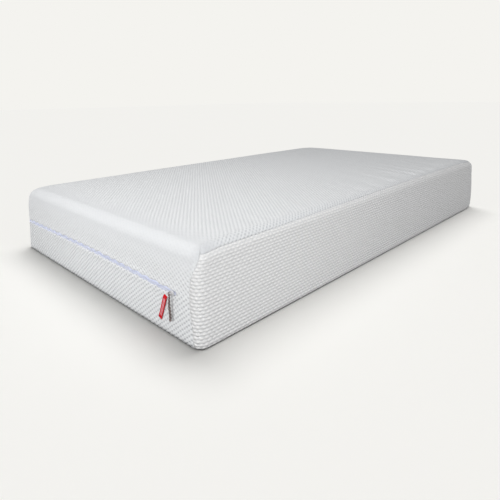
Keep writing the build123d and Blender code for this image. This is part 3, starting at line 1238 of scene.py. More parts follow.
    def _ends_and_far_side(self, points: np.ndarray, walks: np.ndarray, down: np.ndarray) -> list[Patch]:
        """The wall on three sides as three patches, cut where the -X corners are mitred."""
        steps = self.lines.corner_steps
        first = 2 * steps + self.lines.across
        second = first + 2 * steps + self.lines.along
        parts = (
            (slice(0, first + 1), "far end"),
            (slice(first, second + 1), "far side"),
            (slice(second, None), "near end"),
        )
        depth = np.broadcast_to(down[:, None], walks.shape)
        return [self._charted(points[:, part], walks[:, part], depth[:, part], side) for part, side in parts]

    def top(self) -> bpy.types.Object:
        """The top cloth: the flat top, the walls down to the zip, and the +X edge down to its seam."""
        plan = self.lines.flat()
        flat = self.settle(np.concatenate([plan, np.full(plan.shape[:2] + (1,), self.height)], axis=-1))
        patches = [Patch(flat, plan, flipped=True)]
        walk = self._walk_between(Cloth.ENDS_AND_FAR_SIDE)
        quarter = self.top_round * math.pi / 2
        drop = self.height - self.top_round - self.zip_height
        corner_seam = float(self.edge_seam(np.array([self.outline.arc / 2]))[0])
        far_seam = float(self.edge_seam(np.array([1.5 * self.outline.arc + self.outline.long_run]))[0])
        marks = sorted({
            *np.linspace(0, corner_seam, self.edge_steps), *np.linspace(0, far_seam, self.edge_steps)})
        over_edge = np.array([*marks, *np.linspace(corner_seam, quarter, 6)[1:]])
        rows = np.concatenate([quarter + drop - over_edge, self._rows_to_lip(drop)[::-1][1:]])
        down = quarter + drop - rows
        points, walks = self.wall(walk, down, Cloth.ENDS_AND_FAR_SIDE)
        points = self.settle(self.lipped(points, walks, rows, 1.0))
        patches += self._ends_and_far_side(points, walks, down)
        edge_walk = self._walk_between(Cloth.SIDE_PANEL)
        edge_down = np.linspace(0, 1, self.edge_steps)[:, None] * self.edge_seam(edge_walk)[None]
        points, walks = self.wall(edge_walk, edge_down, Cloth.SIDE_PANEL)
        patches.append(self._charted(self.settle(points), walks, edge_down, "near side"))
        obj = build_mesh("cover_top_cloth", patches, 2e-5)
        thicken(obj, self.cloth)
        return obj

    def panel_down(self, walk: np.ndarray) -> np.ndarray:
        """The side panel's rows: from the long edge's seam over the rest of the edge, then to the hem."""
        quarter = self.top_round * math.pi / 2
        seam = self.edge_seam(walk)[None]
        over = np.concatenate([np.linspace(0, 0.45, 6), np.linspace(0.45, 1, 6)[1:]])[:, None]
        drop = self.height - self.top_round - self.foot_height
        upright = quarter + np.linspace(0, drop, 38)[1:, None]
        return np.concatenate([seam + (quarter - seam) * over, np.broadcast_to(upright, (37, len(walk)))])

    def side_panel(self) -> bpy.types.Object:
        """The side panel: one cloth from the hem to the seam on the edge, round both +X corners."""
        walk = self._walk_between(Cloth.SIDE_PANEL)
        down = self.panel_down(walk)
        points, walks = self.wall(walk, down, Cloth.SIDE_PANEL)
        patch = Patch(self.settle(points), np.stack([walks, -down], axis=-1))
        obj = build_mesh("cover_side_panel_cloth", [patch])
        thicken(obj, self.cloth)
        return obj

    def lower_border(self) -> bpy.types.Object:
        """The border under the zip, on both ends and the -X side."""
        walk = self._walk_between(Cloth.ENDS_AND_FAR_SIDE)
        quarter = self.top_round * math.pi / 2
        rows = self._rows_to_lip(self.zip_height - self.foot_height)
        down = quarter + self.height - self.top_round - self.zip_height + rows
        points, walks = self.wall(walk, down, Cloth.ENDS_AND_FAR_SIDE)
        points = self.lipped(points, walks, rows, -1.0)
        obj = build_mesh("cover_lower_border_cloth", self._ends_and_far_side(points, walks, down), 2e-5)
        thicken(obj, self.cloth)
        return obj

    def underside(self) -> bpy.types.Object:
        """The underside's cloth and its turned-up hem, which the borders are sewn to."""
        lines = Lines(self.outline, self.base_round + self.hem_tuck, 40, 66)
        plan = lines.flat()
        flat = np.concatenate([plan, np.zeros(plan.shape[:2] + (1,))], axis=-1)
        turn = np.linspace(math.pi / 2, 0, 7)[:, None]
        walks = np.broadcast_to(lines.walk()[None], (7, len(lines.walk())))
        inset = self.hem_tuck + self.base_round * (1 - np.cos(turn))
        hem, outward = self.outline.place(walks, np.broadcast_to(inset, walks.shape))
        z = np.broadcast_to(self.base_round * (1 - np.sin(turn)), walks.shape)
        near = self.near_corner(walks)
        plump = np.exp(-(((near - self.outline.arc / 2) / 0.05) ** 2)) * smooth(hem[..., 1] / 0.5)
        drawn = (0.8 * MM + 9 * MM * plump) * smooth(z / self.base_round)
        points = np.concatenate([hem - outward * drawn[..., None], z[..., None]], axis=-1)
        chart = np.stack([walks, z], axis=-1)
        patches = [Patch(flat, plan), Patch(points, chart, flipped=True)]
        obj = build_mesh("cover_underside_cloth", patches, merge=2e-5)
        thicken(obj, self.cloth)
        return obj

    def make(self, palette: Palette) -> dict[str, bpy.types.Object]:
        """Builds and dresses the four cloths.

        Args:
            palette: the finishes.

        Returns:
            The cloths by short name.
        """
        cloths = {
            "top": self.top(),
            "panel": self.side_panel(),
            "border": self.lower_border(),
            "underside": self.underside(),
        }
        stand_in(cloths["top"], "cover_top", palette.knit_top)
        stand_in(cloths["panel"], "cover_side_panel", palette.knit_side_panel, "base")
        stand_in(cloths["border"], "cover_lower_border", palette.knit_border, "base")
        stand_in(cloths["underside"], "cover_bottom_panel", palette.knit_underside, "base")
        return cloths


# ---------------------------------------------------------------- the zip


@dataclass
class Zip:
    """The zip round three sides: two woven tapes and two coils of nylon wire."""

    cover: Cover
    inset: float = 4.2 * MM
    tape_thickness: float = 0.8 * MM
    coil_pitch: float = 2.5 * MM
    coil_reach: float = 3.4 * MM
    coil_depth: float = 2.2 * MM
    wire: float = 0.62 * MM

    def line(self, step: float) -> np.ndarray:
        """Walks along the whole zip, step apart, from the far end to the near end."""
        outline = self.cover.outline
        start = 2 * outline.arc + outline.long_run + self.cover.zip_end + 1 * MM
        stop = outline.all_round - self.cover.zip_end - 1 * MM
        return np.linspace(start, stop, int((stop - start) / step) + 1)

    def tape(self, up: float) -> bpy.types.Object:
        """One tape: a strip behind the cloth's lip that follows the zip's line.

        Args:
            up: 1 for the tape over the coils, and -1 for the one under them.

        Returns:
            The tape.
        """
        walk = self.line(6 * MM)
        rows = np.array([0.9, 2.0, 3.4, 5.0, 7.0, 10.0, 15.0, 20.0]) * MM
        walks = np.broadcast_to(walk[None], (len(rows), len(walk)))
        inset = self.inset + 0.5 * MM * np.exp(-rows / (4 * MM))
        plan, _ = self.cover.outline.place(walks, np.broadcast_to(inset[:, None], walks.shape))
        ease = np.exp(-rows / 0.04)[:, None]
        z = self.cover.zip_height + up * rows[:, None] + self.cover.zip_rise(walks) * ease
        points = np.concatenate([plan, z[..., None]], axis=-1)
        chart = np.stack([np.broadcast_to(up * rows[:, None], walks.shape), walks], axis=-1)
        name = "zip_tape_over" if up > 0 else "zip_tape_under"
        obj = build_mesh(name, [Patch(points, chart, flipped=up > 0)])
        thicken(obj, self.tape_thickness)
        return obj

    def coil(self, up: float) -> bpy.types.Object:
        """One coil: a flattened helix of wire whose turns reach just past the middle line.

        With t the turns, the wire's height over the middle line is reach (1/2 - cos t) / 1.5 and
        its depth is that of sin t, while it goes on by one pitch a turn. The two coils are half a
        pitch apart, so that their turns lock.

        Args:
            up: 1 for the coil over the middle line, and -1 for the one under it.

        Returns:
            The coil.
        """
        per_turn = 7
        walk = self.line(self.coil_pitch / per_turn)
        turns = walk / self.coil_pitch * TURN + (0.0 if up > 0 else math.pi)
        over = self.coil_reach * (0.62 - np.cos(turns)) / 1.62
        depth = self.coil_depth / 2 * np.sin(turns)
        plan, outward = self.cover.outline.place(walk, np.full_like(walk, self.inset - 1.4 * MM))
        plan = plan + outward * depth[:, None]
        z = self.cover.zip_height + self.cover.zip_rise(walk) + up * over
        path = np.concatenate([plan, z[:, None]], axis=-1)
        name = "zip_coil_over" if up > 0 else "zip_coil_under"
        return build_mesh(name, [tube(path, self.wire, 5, (0.13, 0.17, 0.97))])

    def make(self, palette: Palette) -> dict[str, bpy.types.Object]:
        """Builds and dresses the tapes and coils.

        Args:
            palette: the finishes.

        Returns:
            The pieces by short name.
        """
        made = {
            "tape_over": self.tape(1.0),
            "tape_under": self.tape(-1.0),
            "coil_over": self.coil(1.0),
            "coil_under": self.coil(-1.0),
        }
        for side, node_side, body in (("over", "upper", None), ("under", "lower", "base")):
            stand_in(made[f"tape_{side}"], f"zip_tape_{node_side}", palette.tape, body)
            stand_in(made[f"coil_{side}"], f"zip_coil_{node_side}", palette.coil, body)
        for node in ("zip_stops_lower", "zip_stops_upper"):
            dress(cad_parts[node], palette.metal)
        return made


@dataclass
class Slider:
    """The zip's slider: a domed front plate, a back plate and the bridge between them."""

    middle: Vector
    length: float = 18 * MM
    height: float = 13 * MM
    front: float = 1002.4 * MM
    front_plate: float = 2.0 * MM
    back: float = 995.2 * MM
    dome: float = 0.7 * MM

    def plate(self, outer: float, inner: float, dome: float) -> list[Patch]:
        """A plate with a pear-shaped outline and a softly rounded rim.

        The outline is a superellipse, narrower to the -X side. From the middle outwards its
        face falls as the square of the distance, and the rim is a quarter round.

        Args:
            outer: the front face's distance from the middle of the mattress.
            inner: the back face's distance.
            dome: how much the front face stands up in its middle.

        Returns:
            The front face with its rim, and the back face.
        """
        angle = np.linspace(0, TURN, 65)
        power = 2 / 3.2
        x = np.sign(np.cos(angle)) * np.abs(np.cos(angle)) ** power * self.length / 2
        z = np.sign(np.sin(angle)) * np.abs(np.sin(angle)) ** power * self.height / 2
        z = z * (0.86 + 0.14 * smooth((x / self.length * 2 + 1) / 1.4))
        rim = 0.5 * MM
        share = np.linspace(0, 1, 9)
        turn = np.linspace(0, math.pi / 2, 5)[1:]
        shrink = 1 - 2 * rim / self.height
        sizes = np.concatenate([share * shrink, shrink + (1 - shrink) * np.sin(turn), [1.0, shrink, 0.0]])
        depth = np.concatenate([
            outer + dome * (1 - share**2), outer - rim * (1 - np.cos(turn)), [inner + rim, inner, inner],
        ])
        y = -np.broadcast_to(depth[:, None], (len(depth), len(angle)))
        across = self.middle.x + sizes[:, None] * x[None]
        points = np.stack([across, y, self.middle.z + sizes[:, None] * z[None]], axis=-1)
        chart = np.stack([points[..., 0], points[..., 2]], axis=-1)
        return [Patch(points, chart)]

    def make(self, palette: Palette) -> bpy.types.Object:
        """Builds and dresses the slider, and dresses the arch on it.

        Args:
            palette: the finishes.

        Returns:
            The slider.
        """
        patches = self.plate(self.front, self.front - self.front_plate, self.dome)
        patches += self.plate(self.back + 0.9 * MM, self.back - 0.3 * MM, 0.0)
        post = np.linspace(-self.front + 1 * MM, -self.back, 8)
        path = np.stack([np.full(8, self.middle.x + 3.6 * MM), post, np.full(8, self.middle.z)], axis=-1)
        patches.append(tube(path, 0.5 * MM, 12, (1, 0, 0), wide=9.0))
        obj = build_mesh("slider_shell", patches)
        stand_in(obj, "zip_slider_body", palette.metal, "slider")
        dress(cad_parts["zip_slider_crown"], palette.metal)
        return obj


# ---------------------------------------------------------------- the pull cord


@dataclass
class PullCord:
    """The slider's pull: a twisted cord with a loop and a knot at its top and a knot at its end.

    The route is the cord's middle line from its exit in the top knot to the end knot.
    """

    crown: Vector
    diameter: float = 6 * MM
    twist: float = 27 * MM
    top_knot_z: float = 118.5 * MM
    route: tuple[Point, ...] = (
        (0.4840, -1.0065, 0.1143),
        (0.4824, -1.0065, 0.0988),
        (0.4832, -1.0065, 0.0828),
        (0.4856, -1.0065, 0.0673),
        (0.4864, -1.0065, 0.0541),
    )

    def centreline(self) -> np.ndarray:
        """Points of a smooth line that has the route's points as its control points."""
        data = bpy.data.curves.new("cord_line", "CURVE")
        data.dimensions = "3D"
        data.resolution_u = 24
        line = data.splines.new("NURBS")
        line.points.add(len(self.route) - 1)
        for point, place in zip(line.points, self.route):
            point.co = (*place, 1.0)
        line.order_u = 3
        line.use_endpoint_u = True
        holder = bpy.data.objects.new("cord_line", data)
        bpy.context.scene.collection.objects.link(holder)
        bpy.context.view_layer.update()
        mesh = bpy.data.meshes.new_from_object(holder)
        points = np.array([v.co for v in mesh.vertices], float)
        bpy.data.objects.remove(holder)
        bpy.data.curves.remove(data)
        bpy.data.meshes.remove(mesh)
        return points

    def strands(self, line: np.ndarray, count: int = 3) -> list[Patch]:
        """Strands that wind round the middle line.

        Each strand's middle is line + r (cos a side + sin a rise), where a grows by one turn a
        twist, and the cord is a little thicker towards its end, where it opens.

        Args:
            line: the cord's middle line.
            count: the number of strands.

        Returns:
            One tube for each strand.
        """
        along = np.concatenate([[0.0], np.cumsum(np.linalg.norm(np.diff(line, axis=0), axis=1))])
        even = np.linspace(0, along[-1], 110)
        points = np.stack([np.interp(even, along, line[:, i]) for i in range(3)], axis=-1)
        _, side, rise = frames_along(points, (0, 1, 0))
        share = even / even[-1]
        swell = 0.82 + 0.40 * smooth(share / 0.45)
        strand = self.diameter / 2 / (1 + 2 / math.sqrt(3))
        patches = []
        for number in range(count):
            angle = TURN * (even / self.twist + number / count)
            thick = strand * swell * 1.04
            offset = np.cos(angle)[:, None] * side + np.sin(angle)[:, None] * rise
            middle = points + offset * (strand * 2 / math.sqrt(3) * swell)[:, None]
            made = tube(middle, thick, 12, (0, 1, 0.02))
            # The map's second value is how far round each point is from the strand's outward side; the cord's
            # finish darkens by it as painted shade in the grooves.
            turned = made.chart[..., 1] / thick.max() - np.pad(angle, 2, mode="edge")[:, None]
            outward = np.mod(turned + math.pi, TURN) - math.pi
            chart = np.stack([made.chart[..., 0], np.abs(outward) * 2 * MM], axis=-1)
            patches.append(Patch(made.points, chart, made.flipped))
        return patches

    def knot(self, name: str, middle: np.ndarray, reach: float, thick: float,
             turn: float) -> bpy.types.Object:
        """An overhand knot pulled tight: a tube along a trefoil line.

        The line is (sin t + 2 sin 2t, cos t - 2 cos 2t, -sin 3t), scaled to its reach.

        Args:
            name: the piece's name.
            middle: the knot's middle.
            reach: the line's farthest distance from the middle.
            thick: the tube's radius.
            turn: how far the knot is turned about the cord.

        Returns:
            The knot.
        """
        t = np.linspace(0, TURN, 97)[:-1]
        across, up = np.sin(t) + 2 * np.sin(2 * t), np.cos(t) - 2 * np.cos(2 * t)
        shape = np.stack([across, up, -1.6 * np.sin(3 * t)], axis=-1) / 3
        turned = np.array(Matrix.Rotation(turn, 3, "Z") @ Matrix.Rotation(math.radians(68), 3, "X"))
        path = middle + reach * shape @ turned.T
        return build_mesh(name, [tube(path, thick, 12, (0.31, 0.54, 0.78), closed=True)], 1e-6)

    def loop(self) -> bpy.types.Object:
        """The loop over the slider's arch: two plies that wind round a ring."""
        t = np.linspace(0, TURN, 73)[:-1]
        ring = np.stack([np.zeros_like(t), np.cos(t), np.sin(t)], axis=-1)
        across = np.array([1.0, 0.0, 0.0])
        patches = []
        for start in (0.0, math.pi):
            angle = 5 * t + start
            offset = np.cos(angle)[:, None] * ring + np.sin(angle)[:, None] * across
            middle = np.array(self.crown) + ring * 2.45 * MM + offset * 0.5 * MM
            patches.append(tube(middle, 0.68 * MM, 8, (1, 0.05, 0.03), closed=True))
        return build_mesh("cord_loop_plies", patches, 1e-6)

    def make(self, palette: Palette) -> list[bpy.types.Object]:
        """Args:
            palette: the finishes.

        Returns:
            The pieces.
        """
        line = self.centreline()
        way = unit(line[-1] - line[-2])
        cord = build_mesh("cord_strands", self.strands(line), 1e-6)
        above = np.array([self.route[0][0], self.route[0][1], self.top_knot_z])
        top_knot = self.knot("cord_top_knot", above, 2.5 * MM, 1.5 * MM, 0.4)
        below = line[-1] + way * 3.2 * MM + np.array([0.0, -0.8 * MM, 0.0])
        end_knot = self.knot("cord_end_knot", below, 2.7 * MM, 1.6 * MM, 1.3)
        loop = self.loop()
        stand_in(cord, "pull_cord", palette.cord, "cord")
        stand_in(end_knot, "pull_cord_end_knot", palette.knot, "cord")
        stand_in(top_knot, "pull_cord_top_knot", palette.knot, "cord_loop")
        stand_in(loop, "pull_cord_loop", palette.knot, "cord_loop")
        return [cord, top_knot, end_knot, loop]


@dataclass
class RibbonLoop:
    """The ribbon sewn in under the zip: one strip folded over at its lower end."""

    top_x: float = 456.5 * MM
    top_z: float = 107.0 * MM
    length: float = 78 * MM
    width: float = 15 * MM
    slant: float = math.radians(21.0)
    thickness: float = 0.6 * MM
    gap: float = 0.35 * MM
    wall_y: float = 1000.0 * MM

    def make(self, palette: Palette) -> bpy.types.Object:
        """The strip's middle line goes down, round a half circle and up again behind itself, with
        a slow bow, and the strip is cupped a little across.

        Args:
            palette: the finishes.

        Returns:
            The ribbon.
        """
        fold = 0.45 * MM
        down = np.linspace(0, self.length - fold, 44)
        turn = np.linspace(0, math.pi, 9)[1:-1]
        run = np.concatenate([down, self.length - fold + fold * np.sin(turn), down[::-1]])
        behind = np.concatenate([
            np.zeros_like(down), fold * (1 - np.cos(turn)), np.full_like(down, 2 * fold)])
        share = run / self.length
        bow = 0.3 * MM * np.sin(math.pi * share)
        front = self.gap + self.thickness / 2 + 2 * fold
        tuck = 3.4 * MM * np.clip(1 - share / 0.10, 0, 1) ** 2
        away = front - behind + np.maximum(bow, 0) * smooth(share * 4) - tuck
        cross = np.linspace(-1, 1, 11) * self.width / 2
        sway = 1.2 * MM * np.sin(math.pi * share)
        middle_x = self.top_x - run * math.sin(self.slant) + sway
        middle_z = self.top_z - run * math.cos(self.slant)
        cup = 0.2 * MM * (cross / (self.width / 2)) ** 2
        x = middle_x[:, None] + cross[None] * math.cos(self.slant)
        z = middle_z[:, None] - cross[None] * math.sin(self.slant)
        y = -(self.wall_y + away[:, None] + cup[None] * smooth(share * 3)[:, None])
        along = np.concatenate([[0.0], np.cumsum(np.hypot(np.diff(run), np.diff(behind)))])
        chart = np.stack(np.broadcast_arrays(cross[None], along[:, None]), axis=-1)
        obj = build_mesh("ribbon_strip", [Patch(np.stack([x, y, z], axis=-1), chart)])
        thicken(obj, self.thickness)
        stand_in(obj, "ribbon_loop", palette.ribbon, "ribbon")
        return obj


# ---------------------------------------------------------------- stitches


@dataclass
class Stitches:
    """A row of short thread stitches along the seam of the cover's long edge."""

    cover: Cover
    pitch: float = 4.2 * MM
    thread: float = 0.34 * MM

    def row(self, path: np.ndarray, outward: np.ndarray) -> list[np.ndarray]:
        """Stitches along a path: each is a low arch of thread over the cloth.

        Args:
            path: the seam's points, close together.
            outward: the direction off the cloth at each point.

        Returns:
            The stitches' points, as stitches by rings by sides, and their map.
        """
        along = np.concatenate([[0.0], np.cumsum(np.linalg.norm(np.diff(path, axis=0), axis=1))])
        starts = np.arange(self.pitch / 2, along[-1] - self.pitch, self.pitch)
        middle = np.stack([np.interp(starts, along, path[:, i]) for i in range(3)], axis=-1)
        next_on = starts + self.pitch * 0.4
        ahead = unit(np.stack([np.interp(next_on, along, path[:, i]) for i in range(3)], axis=-1) - middle)
        off = unit(np.stack([np.interp(starts, along, outward[:, i]) for i in range(3)], axis=-1))
        side = unit(np.cross(ahead, off))
        reach = np.array([-0.37, -0.33, -0.15, 0.15, 0.33, 0.37]) * self.pitch
        rise = np.array([-0.5, 0.1, 0.75, 0.75, 0.1, -0.5]) * self.thread
        size = np.array([0.0, 0.85, 1.0, 1.0, 0.85, 0.0]) * self.thread
        angle = np.linspace(0, TURN, 7)
        ring = np.cos(angle)[None, :, None] * side[:, None] + np.sin(angle)[None, :, None] * off[:, None]
        spine = middle[:, None] + reach[None, :, None] * ahead[:, None] + rise[None, :, None] * off[:, None]
        points = spine[:, :, None] + size[None, :, None, None] * ring[:, None]
        chart = np.stack(np.meshgrid(angle * self.thread, reach), axis=-1)
        chart = np.broadcast_to(chart, points.shape[:3] + (2,))
        return [points, chart]

    def sew(self, name: str, rows: list[list[np.ndarray]], palette: Palette) -> bpy.types.Object:
        """One object of several rows of stitches, dressed in thread.

        Args:
            name: the piece's name.
            rows: what row gave for each seam.
            palette: the finishes.

        Returns:
            The stitches.
        """
        points = np.concatenate([r[0] for r in rows])
        chart = np.concatenate([r[1] for r in rows])
        count, rings, sides = points.shape[:3]
        number = np.arange(count * rings * sides).reshape(count, rings, sides)
        corners = [number[:, :-1, :-1], number[:, :-1, 1:], number[:, 1:, 1:], number[:, 1:, :-1]]
        faces = np.stack(corners, axis=-1).reshape(-1, 4)
        mesh = bpy.data.meshes.new(name)
        mesh.from_pydata(points.reshape(-1, 3).tolist(), [], faces.tolist())
        mesh.uv_layers.new(name="chart").data.foreach_set(
            "uv", chart.reshape(-1, 2)[faces.ravel()].astype(np.float32).ravel())
        body = bmesh.new()
        body.from_mesh(mesh)
        bmesh.ops.remove_doubles(body, verts=body.verts, dist=1e-6)
        bmesh.ops.dissolve_degenerate(body, edges=body.edges, dist=1e-6)
        bmesh.ops.recalc_face_normals(body, faces=body.faces)
        body.to_mesh(mesh)
        body.free()
        mesh.shade_smooth()
        obj = bpy.data.objects.new(name, mesh)
        bpy.context.scene.collection.objects.link(obj)
        dress(obj, palette.thread)
        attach(obj, "base")
        return obj

    def make(self, palette: Palette) -> list[bpy.types.Object]:
        """Sews the long seam on the rounded edge.

        Args:
            palette: the finishes.

        Returns:
            The pieces.
        """
        cover, outline = self.cover, self.cover.outline
        span = np.linspace(outline.arc / 2, outline.arc * 1.5 + outline.long_run, 900)
        down = cover.edge_seam(span)[None] + np.array([[3.2], [3.7]]) * MM
        edge = cover.settle(cover.wall(span, down, Cloth.SIDE_PANEL)[0])
        rise = unit(np.cross(np.gradient(edge[0], axis=0), edge[1] - edge[0])) * -1.0
        top_row = self.row(edge[0], rise)
        return [self.sew("seam_stitches", [top_row], palette)]


# ---------------------------------------------------------------- the foam


@dataclass
class FoamBlock:
    """The three glued layers of foam inside the cover."""

    cover: Cover
    side_gap: float = 7 * MM

    def layer(self, name: str, low: float, high: float, top_round: float, base_round: float,
              settled: bool) -> bpy.types.Object:
        """One layer: a slab with rounded upright corners, its upper and lower edges rounded.

        The wall is a profile of inset and height carried round the outline, and a grid closes
        it above and below.

        Args:
            name: the piece's name.
            low: its lowest height.
            high: its highest height.
            top_round: the radius of the upper edge.
            base_round: the radius of the lower edge.
            settled: whether it follows the crown of the cover's top.

        Returns:
            The layer.
        """
        plan = self.cover.outline
        corner = plan.corner - self.side_gap / 2
        outline = Outline(
            plan.half_width - self.side_gap, plan.half_length - self.side_gap, corner, 30 * MM, corner / 2)
        upper, lower = Lines(outline, top_round, 36, 60), Lines(outline, base_round, 36, 60)
        turn = np.linspace(0, math.pi / 2, 7)
        inset = np.concatenate([top_round * (1 - np.sin(turn)), base_round * (1 - np.cos(turn))])
        z = np.concatenate([high - top_round * (1 - np.cos(turn)), low + base_round * (1 - np.sin(turn))])
        walk = upper.walk()
        walks = np.broadcast_to(walk[None], (len(z), len(walk)))
        wall, _ = outline.place(walks, np.broadcast_to(inset[:, None], walks.shape))
        wall = np.concatenate([wall, np.broadcast_to(z[:, None, None], walks.shape + (1,))], axis=-1)
        chart = np.stack([walks, np.broadcast_to(z[:, None], walks.shape)], axis=-1)
        patches = [Patch(wall, chart)]
        for lines, height, flipped in ((upper, high, True), (lower, low, False)):
            flat = lines.flat()
            points = np.concatenate([flat, np.full(flat.shape[:2] + (1,), height)], axis=-1)
            patches.append(Patch(points, flat, flipped=flipped))
        if settled:
            for patch in patches:
                ends = smooth((patch.points[..., 2] - low) / (high - low))
                x, y = patch.points[..., 0], patch.points[..., 1]
                crown = self.cover.crown * (1 - (x / 0.6) ** 2) * (1 - y ** 2)
                eased = self.cover.ease_edges(patch.points)
                patch.points[...] += ends[..., None] * (eased - patch.points)
                patch.points[..., 2] += ends * crown * 0.5 - ends * 1.2 * MM
        return build_mesh(name, patches, 2e-5)

    def make(self, palette: Palette) -> list[bpy.types.Object]:
        """Args:
            palette: the finishes.

        Returns:
            The layers.
        """
        rows = (
            ("memory_foam_slab", "memory_foam_layer", "memory_foam",
             palette.memory_foam, 29 * MM, 0.5 * MM, True),
            ("transition_foam_slab", "transition_foam_layer", "transition_foam",
             palette.transition_foam, 0.5 * MM, 0.5 * MM, False),
            ("support_foam_slab", "support_foam_core", "support_foam",
             palette.support_foam, 0.5 * MM, 4 * MM, False),
        )
        layers = []
        for name, node, slot_name, material, top_round, base_round, settled in rows:
            low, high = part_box(node)
            obj = self.layer(name, low.z, high.z, top_round, base_round, settled)
            stand_in(obj, node, material, "base")
            layers.append(obj)
        return layers


# ---------------------------------------------------------------- the studio


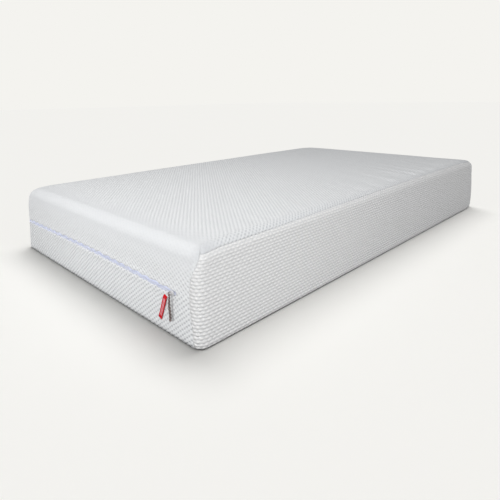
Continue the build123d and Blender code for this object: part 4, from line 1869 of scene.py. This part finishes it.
@dataclass
class Studio:
    """A plain pale floor, soft light and the camera."""

    place: Point = (1.433, -1.649, 0.637)
    heading: float = 2.351
    dip: float = 0.09
    roll: float = -0.017
    lens: float = 31.50
    lift: float = -0.2238
    pale: Colour = (0.905, 0.896, 0.863, 1)
    shown_low: Colour = (0.948, 0.938, 0.905, 1)
    shown_high: Colour = (0.952, 0.942, 0.909, 1)
    bounced: Colour = (0.36, 0.36, 0.36, 1)

    def camera(self) -> bpy.types.Object:
        """The camera, from its heading, dip and roll."""
        flat = math.cos(self.dip)
        ahead = Vector((flat * math.cos(self.heading), flat * math.sin(self.heading), -math.sin(self.dip)))
        level = Vector((ahead.y, -ahead.x, 0)).normalized()
        upright = level.cross(ahead)
        right = level * math.cos(self.roll) + upright * math.sin(self.roll)
        up = upright * math.cos(self.roll) - level * math.sin(self.roll)
        data = bpy.data.cameras.new("camera")
        data.sensor_width = 36.0
        data.lens = self.lens
        data.shift_y = self.lift
        data.clip_start, data.clip_end = 0.05, 200.0
        obj = bpy.data.objects.new("camera", data)
        bpy.context.scene.collection.objects.link(obj)
        turn = Matrix((right, up, -ahead)).transposed().to_4x4()
        obj.matrix_world = Matrix.Translation(Vector(self.place)) @ turn
        bpy.context.scene.camera = obj
        return obj

    def floor(self) -> bpy.types.Object:
        """A wide floor under the mattress."""
        ways = np.linspace(-40, 40, 9)
        x, y = np.meshgrid(ways, ways)
        points = np.stack([x, y, np.full_like(x, -0.0004)], axis=-1)
        obj = build_mesh("studio_floor", [Patch(points, points[..., :2], flipped=True)])
        finish = Finish("floor_paint", 1.0)
        cloud = finish.graph.noise(finish.place(), 0.7, 2.0)
        shown = finish.graph.mixed(cloud.outputs[0], self.shown_low, self.shown_high)
        seen = finish.graph.node("ShaderNodeLightPath").outputs["Is Camera Ray"]
        finish.put("Base Color", finish.graph.mixed(seen, self.bounced, shown))
        finish.put("Specular IOR Level", 0.0)
        dress(obj, finish.material)
        obj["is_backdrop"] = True
        return obj

    def sun(self, name: str, towards: Point, strength: float, spread: float, shadow: bool,
            lit: bpy.types.Collection | None = None) -> None:
        """A far, even light.

        Args:
            name: its name.
            towards: the direction in which it shines.
            strength: its strength.
            spread: its width in degrees; a wider one has softer shadows.
            shadow: whether it casts shadows.
            lit: the only things that it lights, or all.
        """
        data = bpy.data.lights.new(name, "SUN")
        data.energy = strength
        data.angle = math.radians(spread)
        data.use_shadow = shadow
        obj = bpy.data.objects.new(name, data)
        obj.rotation_euler = Vector(towards).to_track_quat("-Z", "Y").to_euler()
        bpy.context.scene.collection.objects.link(obj)
        if lit is not None:
            obj.light_linking.receiver_collection = lit

    def softbox(self, name: str, place: Point, aim: Point, size: float,
                power: float, lit: bpy.types.Collection) -> None:
        """A near, square light that fades with distance.

        Args:
            name: its name.
            place: where it stands.
            aim: the point it faces.
            size: the length of its side.
            power: its power.
            lit: the only things that it lights.
        """
        data = bpy.data.lights.new(name, "AREA")
        data.energy = power
        data.size = size
        obj = bpy.data.objects.new(name, data)
        obj.location = place
        obj.rotation_euler = (Vector(aim) - Vector(place)).to_track_quat("-Z", "Y").to_euler()
        bpy.context.scene.collection.objects.link(obj)
        obj.light_linking.receiver_collection = lit

    def world(self, strength: float) -> None:
        """An even pale sky that lights softly, and that the camera sees as the floor's own tone."""
        world = bpy.data.worlds.new("studio")
        world.use_nodes = True
        bpy.context.scene.world = world
        graph = Graph(world.node_tree)
        lighting = world.node_tree.nodes["Background"]
        lighting.inputs["Color"].default_value = (0.985, 0.99, 1.0, 1)
        lighting.inputs["Strength"].default_value = strength
        seen = graph.node("ShaderNodeBackground")
        seen.inputs["Color"].default_value = self.pale
        path = graph.node("ShaderNodeLightPath")
        chosen = graph.node("ShaderNodeMixShader")
        graph.feed(chosen.inputs[0], path.outputs["Is Camera Ray"])
        graph.feed(chosen.inputs[1], lighting.outputs[0])
        graph.feed(chosen.inputs[2], seen.outputs[0])
        graph.feed(world.node_tree.nodes["World Output"].inputs["Surface"], chosen.outputs[0])

    def make(self) -> None:
        """Sets up the floor, the lights and the way that tones are shown."""
        settings = bpy.context.scene.view_settings
        settings.view_transform = "Standard"
        settings.look = "None"
        floor = self.floor()
        self.world(0.36)
        floor_only = bpy.data.collections.new("floor_only")
        floor_only.objects.link(floor)
        goods = bpy.data.collections.new("goods")
        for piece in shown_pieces():
            goods.objects.link(piece)
        self.sun("floor_from_corner", (0.43, -0.31, -1.0), 1.02, 30.0, True, floor_only)
        self.sun("floor_from_back", (0.0, -0.46, -1.0), 0.66, 30.0, True, floor_only)
        self.sun("floor_from_above", (0.02, -0.16, -1.0), 0.33, 18.0, True, floor_only)
        self.softbox("over_box", (0.35, -0.95, 1.75), (0.25, -0.75, 0.27), 0.9, 3.7, goods)
        self.softbox("top_box", (-0.2, -0.9, 1.9), (-0.1, -0.6, 0.27), 1.6, 7.2, goods)
        self.softbox("front_box", (0.1, -2.3, 0.3), (0.0, -1.0, 0.13), 1.5, 17.5, goods)
        self.softbox("side_box", (1.7, -1.0, 0.25), (0.6, -0.55, 0.13), 0.9, 4.2, goods)
        self.softbox("corner_box", (2.0, -1.2, 0.9), (0.6, -0.5, 0.15), 1.0, 7.5, goods)
        self.sun("front_fill", (0.0, 1.0, 0.0), 0.28, 170.0, False, goods)
        self.sun("side_fill", (-1.0, 0.0, 0.0), 0.97, 170.0, False, goods)


# ---------------------------------------------------------------- everything together


def main() -> None:
    """Builds the mattress over its frame, in order, and reports each piece."""
    logging.basicConfig(level=logging.INFO, format="%(message)s")
    studio = Studio()
    studio.camera()
    effects = Effects()
    palette = Palette(effects)
    log.info("finishes ready")

    low, high = CAD_BOX
    outline = Outline((high.x - low.x) / 2, high.y, 28 * MM, 35 * MM, 9 * MM)
    cover = Cover(outline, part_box("cover_top")[1].z)

    crown_low, crown_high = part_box("zip_slider_crown")
    crown = Vector((
        (crown_low.x + crown_high.x) / 2, crown_low.y + 0.8 * MM, (crown_low.z + crown_high.z) / 2))
    PullCord(crown).make(palette)
    log.info("pull cord ready")

    cloths = cover.make(palette)
    log.info("cover ready")
    zip_pieces = Zip(cover).make(palette)
    log.info("zip ready")
    slider_low, slider_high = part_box("zip_slider_body")
    middle = (slider_low + slider_high) / 2
    Slider(middle).make(palette)
    log.info("slider ready")
    RibbonLoop().make(palette)
    log.info("ribbon ready")
    FoamBlock(cover).make(palette)
    log.info("foam ready")
    Stitches(cover).make(palette)
    log.info("stitches ready")

    for piece in (cloths["top"], zip_pieces["tape_over"], zip_pieces["coil_over"]):
        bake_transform(piece)

    studio.make()
    log.info("studio ready")


if __name__ == "__main__":
    main()
